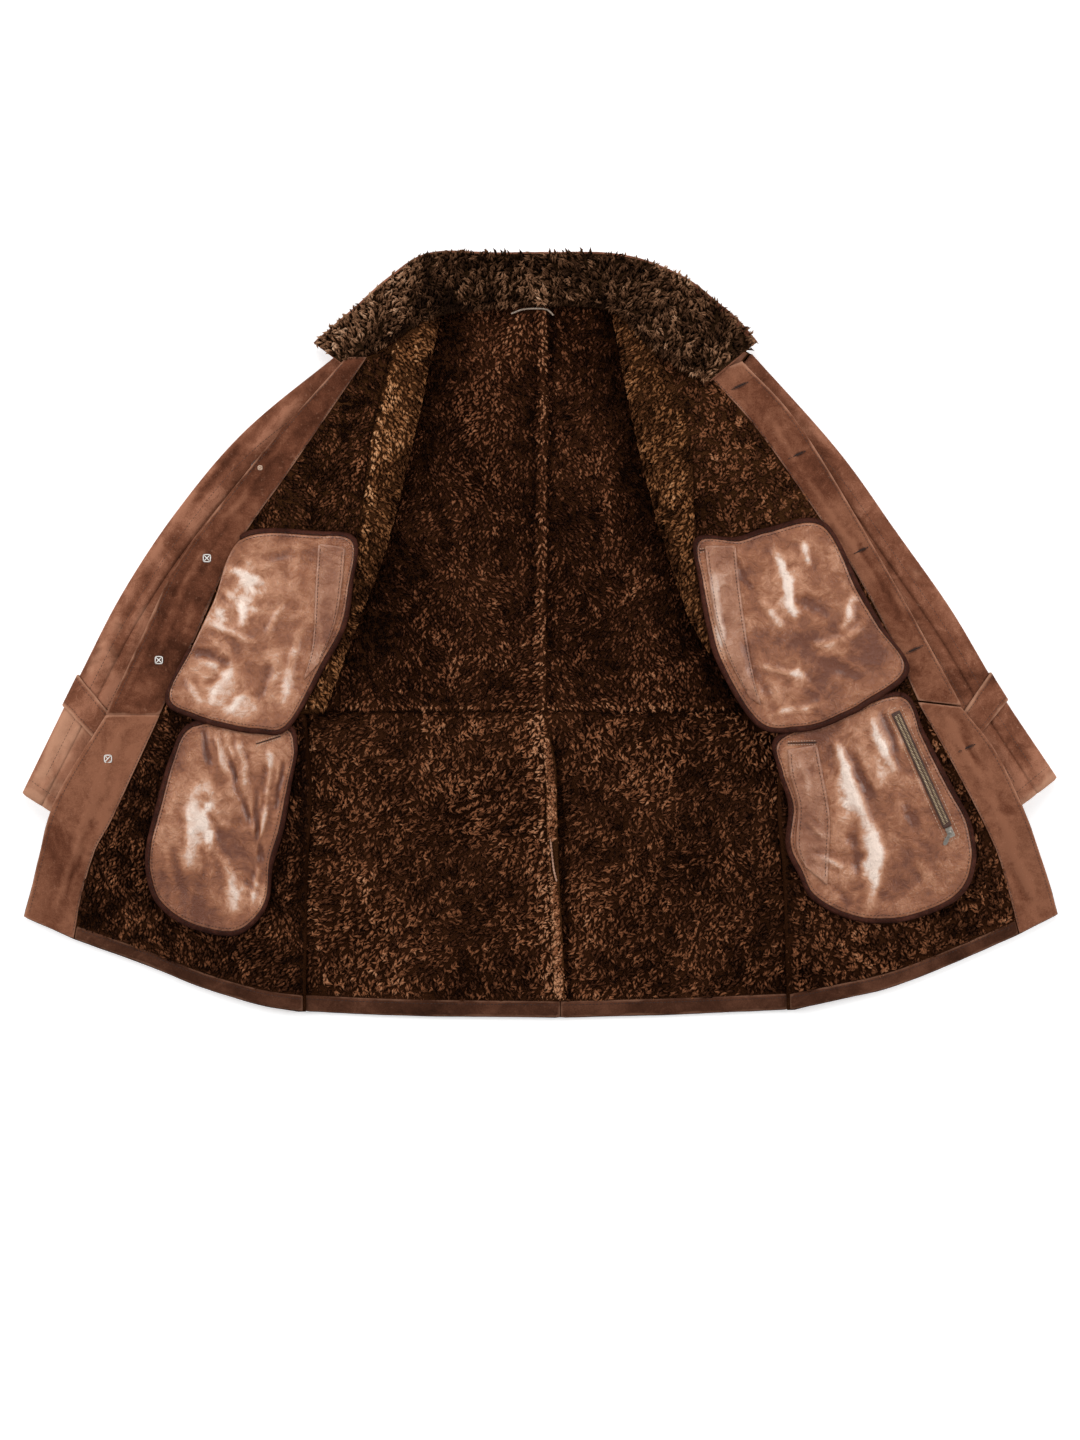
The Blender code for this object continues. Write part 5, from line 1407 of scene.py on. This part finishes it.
def build_bag(name, seed):
    node = "pocket_" + name
    count, rings = 200, 36
    edge = closed_spline(BAGS[name], count)
    centre = edge.mean(axis=0)
    inward = (centre - edge) / np.linalg.norm(centre - edge, axis=1, keepdims=True)
    rim = edge + inward * (BINDING_WIDTH + SEAM)
    shares = np.linspace(1, 0.03, rings)
    plan = centre + (rim - centre)[None] * shares[:, None, None]
    calm = np.interp(1 - shares, [0, 0.10, 0.22], [0.25, 0.8, 1.0])[:, None]
    relief = bag_relief(name, plan, seed) * calm
    low, top = Height(node, False, 14.0)(plan), Height(node, True, 12.0)(plan)
    top = np.maximum(top + relief, low + 1.2)
    points, faces = [], []
    middle_low, middle_top = low[-1].mean(), top[-1].mean()
    points = np.vstack([np.dstack([plan, low]).reshape(-1, 3), np.dstack([plan, top]).reshape(-1, 3),
                        [[*centre, middle_low], [*centre, middle_top]],
                        np.column_stack([rim - inward * 1.0, (low[0] + top[0]) / 2])])
    size = rings * count
    ring = np.arange(count)
    beyond = np.roll(ring, -1)
    last = (rings - 1) * count
    mid = 2 * size + 2
    quads = [grid_faces(rings, count, 0, flip=True, wrap=True), grid_faces(rings, count, size, wrap=True),
             np.stack([ring, beyond, beyond + mid, ring + mid], axis=1),
             np.stack([ring + mid, beyond + mid, beyond + size, ring + size], axis=1)]
    tips = [np.stack([last + beyond, last + ring, np.full(count, 2 * size)], axis=1),
            np.stack([size + last + ring, size + last + beyond, np.full(count, 2 * size + 1)], axis=1)]
    world = to_world(points)
    faces = quads + tips
    if volume(world, faces) < 0:
        faces = [group[:, ::-1] for group in faces]
    worn = np.interp(1 - shares, [0, 0.05], [0.8, 0.0])[:, None] * np.ones(count)[None]
    # Painted highlights: pale patches where the glossy leather would catch the light.
    bloom = sum(strength * np.exp(-((plan[..., 0] - x) / rx) ** 2 - ((plan[..., 1] - y) / ry) ** 2)
                for x, y, rx, ry, strength in PAINTED_HIGHLIGHTS[name])
    bloom = bloom * (1 + layered(plan, 12, seed + 12) * 1.1) - 0.20
    marks = {label: np.r_[grid.ravel(), grid.ravel(), [grid[-1].mean()] * 2, grid[0]]
             for label, grid in (("relief", relief), ("worn", worn), ("bloom", bloom))}
    made = build_mesh(node + "_leather", world, faces, marks, None, [LEATHER])
    finish_panel(node, made)

    run = np.arange(0, round(BOUND[name] * count) + 1)
    index = run % count
    SEAM_LINES[node] = [edge[index] + inward[index] * (BINDING_WIDTH + 3.4)]
    SEAM_LINES[node + "_binding"] = [edge[index] + inward[index] * 3.9]
    across = np.linspace(0, 1, 7)
    band = edge[index][:, None] + inward[index][:, None] * BINDING_WIDTH * across[None, :, None]
    if BOUND[name] == 1.0:
        band[-1] += (band[-2] - band[-1]) * 0.3
    node = node + "_binding"
    crown = np.sin(across * math.pi) ** 0.7 * 0.9
    pucker = layered(band, 9, seed + 9, 2) * 0.5
    top = Height(node, True, 9.0)(band) + crown - 0.7 + pucker
    low = np.minimum(Height(node, False, 9.0)(band), top - 1.2)
    made = cloth(node + "_strip", np.dstack([band, low]), np.dstack([band, top]), [BINDING],
                 {"relief": pucker, "worn": np.abs(across - 0.5)[None] * np.ones(top.shape)}, bulge=0.35)
    finish_panel(node, made)


def build_pockets():
    for seed, name in enumerate(BAGS, start=1):
        build_bag(name, 900 + seed * 20)
    for seed, (name, lines) in enumerate(POCKET_FACINGS.items(), start=1):
        plan = plan_between([spline(line, even(56)) for line in lines], [12])
        node = "pocket_facing_" + name
        relief = bag_relief(name, plan, 900 + (list(BAGS).index(name) + 1) * 20)
        upper = Height(node, True, 8.0)(plan) + relief
        lower = Height("pocket_" + name, True, 12.0)(plan) + relief + 0.15
        upper = np.maximum(upper, lower + 1.1)
        made = cloth(node + "_patch", np.dstack([plan, lower]), np.dstack([plan, upper]), [LEATHER_GREY],
                     {"relief": relief, "worn": 1 - edge_share(plan, 3.0)})
        finish_panel(node, made)
        SEAM_LINES[node] = [plan[2:-2, 1], plan[2:-2, -2]]


def build_zip_tape():
    top, end = np.array(ZIP_TOP, float), np.array(ZIP_END, float)
    along = (end - top) / np.linalg.norm(end - top)
    across = np.array([along[1], -along[0]])
    stop = end - along * 7.5
    plan = plan_between([spline([top - across * 5.5, stop - across * 5.5], even(60)),
                         spline([top + across * 5.5, stop + across * 5.5], even(60))], [6])
    relief = bag_relief("lower_right", plan, 980)
    upper = Height("zip_tape", True, 8.0)(plan) + relief
    made = cloth("zip_tape_woven", np.dstack([plan, upper - 1.4]), np.dstack([plan, upper]), [TAPE],
                 {"relief": relief})
    finish_panel("zip_tape", made)


def build_vent_edge():
    left = [(x - 8, y - 30 if k == 0 else y + (22 if k == 5 else 0)) for k, (x, y) in enumerate(VENT)]
    right = [(x + 12, y) for x, y in left]
    plan = plan_between([spline(left, even(90)), spline(right, even(90))], [5])
    top = Height("vent_edge", True, 6.0)(plan) + layered(plan, 18, 862) * 0.5
    low = np.minimum(Height("vent_edge", False, 6.0)(plan), top - 1.6)
    made = cloth("vent_edge_turned", np.dstack([plan, low]), np.dstack([plan, top]), [GROUND_GOLD],
                 {"tone": layered(plan, 30, 864)})
    raw = lambda root: (np.abs(root[:, 1] - 193) < 26) & (root[:, 0] > np.interp(root[:, 1], [167, 221],
                                                                                 [8, 2]))
    tufts = grow_locks("vent_edge_fleece", np.dstack([plan, top]), {"vent_edge"}, LOCKS_FRONT, 863, tone=0.26,
                       spacing=2.3, reach=6.0, rise=3.2, flow=(-0.25, -1.0), bare=raw)
    finish_panel("vent_edge", made, [tufts])
    line = spline([(4, 221), (8, 184), (12, 167)], even(14))
    bar_row("vent_raw_edge", [np.column_stack([line, Height("vent_edge", True, 6.0)(line) + 1.6])], 1.3,
            RAW_EDGE, "suede",
            pitch=4.2, length=5.4)


# ---------------------------------------------------------------- studio


def build_studio():
    """Plain pale floor, soft lights at both sides and overhead, camera straight above."""
    bpy.ops.object.select_all(action="DESELECT")
    bpy.ops.mesh.primitive_plane_add(size=12.0, location=(0, 0, -0.0005))
    floor = bpy.context.object
    floor.name = "floor"
    finish = Finish("floor_paper", Roughness=0.9, Specular_IOR_Level=0.1, Emission_Strength=0.35)
    finish.shader.inputs["Emission Color"].default_value = (1.0, 1.0, 1.0, 1.0)
    grain = finish.spots(3.0, 2.0)
    floor.data.materials.append(finish.done(finish.ramp(grain, (0.3, (0.90, 0.90, 0.90)),
                                                        (0.7, (0.94, 0.94, 0.94)))))
    for name, place, size, power in (("left_window", (-2.5, 0.5, 1.9), (1.6, 2.6), 58.0),
                                     ("right_window", (2.5, 0.3, 1.9), (1.6, 2.6), 52.0),
                                     ("overhead", (0.0, 2.7, 3.4), (2.6, 2.0), 52.0)):
        data = bpy.data.lights.new(name, "AREA")
        data.shape, data.size, data.size_y, data.energy = "RECTANGLE", size[0], size[1], power
        light = bpy.data.objects.new(name, data)
        light.location = place
        light.rotation_euler = (Vector((0, 0, 0)) - Vector(place)).to_track_quat("-Z", "Y").to_euler()
        bpy.context.scene.collection.objects.link(light)
    world = bpy.data.worlds.new("studio")
    world.use_nodes = True
    world.node_tree.nodes["Background"].inputs["Color"].default_value = (1.0, 1.0, 1.0, 1.0)
    world.node_tree.nodes["Background"].inputs["Strength"].default_value = 0.32
    bpy.context.scene.world = world
    data = bpy.data.cameras.new("above")
    data.sensor_width, data.lens = 36.0, 92.9
    camera = bpy.data.objects.new("above", data)
    camera.location = (0.0, -0.1057, 4.6)
    bpy.context.scene.collection.objects.link(camera)
    bpy.context.scene.camera = camera
    bpy.context.scene.view_settings.view_transform = "Standard"


def keep_small_parts():
    for node, finish in [("zip_slider", SILVER), ("zip_pull", SILVER), ("hanger_loop", CORD)] + [
            ("button_%d" % k, HORN) for k in range(1, 6)]:
        slots = NODES[node].material_slots
        if len(slots):
            slots[0].material = finish
        else:
            NODES[node].data.materials.append(finish)


def rests_on(node):
    """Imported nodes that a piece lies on; the backs, their hems and the sleeves lie on the floor."""
    side = "left" if "left" in node else "right"
    back = ["back_upper_" + side, "back_skirt_" + side]
    sleeve = ["sleeve_over_" + side, "sleeve_under_" + side]
    for stem, below in (("facing_upper", ["front_upper_" + side]), ("facing_lower", ["front_skirt_" + side]),
                        ("hem_front", ["front_skirt_" + side]), ("hem_back", [back[1]]),
                        ("front_upper", back + sleeve),
                        ("front_skirt", [back[1]] + sleeve), ("side_front", back[:1]),
                        ("cuff_strap", sleeve[:1]),
                        ("vent_edge", ["back_skirt_left", "back_skirt_right"]),
                        ("zip_tape", ["pocket_lower_right"]),
                        ("pocket_facing", [node.replace("facing_", "")]),
                        ("pocket_upper", ["front_upper_" + side]), ("pocket_lower", ["front_skirt_" + side]),
                        ("collar", ["back_upper_left", "back_upper_right", "front_upper_left",
                                    "front_upper_right"])):
        if node.startswith(stem):
            return below
    return []


build_studio()
build_backs()
build_sleeves()
build_side_fronts()
build_fronts()
build_vent_edge()
build_pockets()
build_zip_tape()
build_collar()
sew()
build_thread_marks()
build_buttonholes()
build_teeth()
keep_small_parts()
for piece, node, flat, area, tufts in SHEETS:
    rests_on(node)
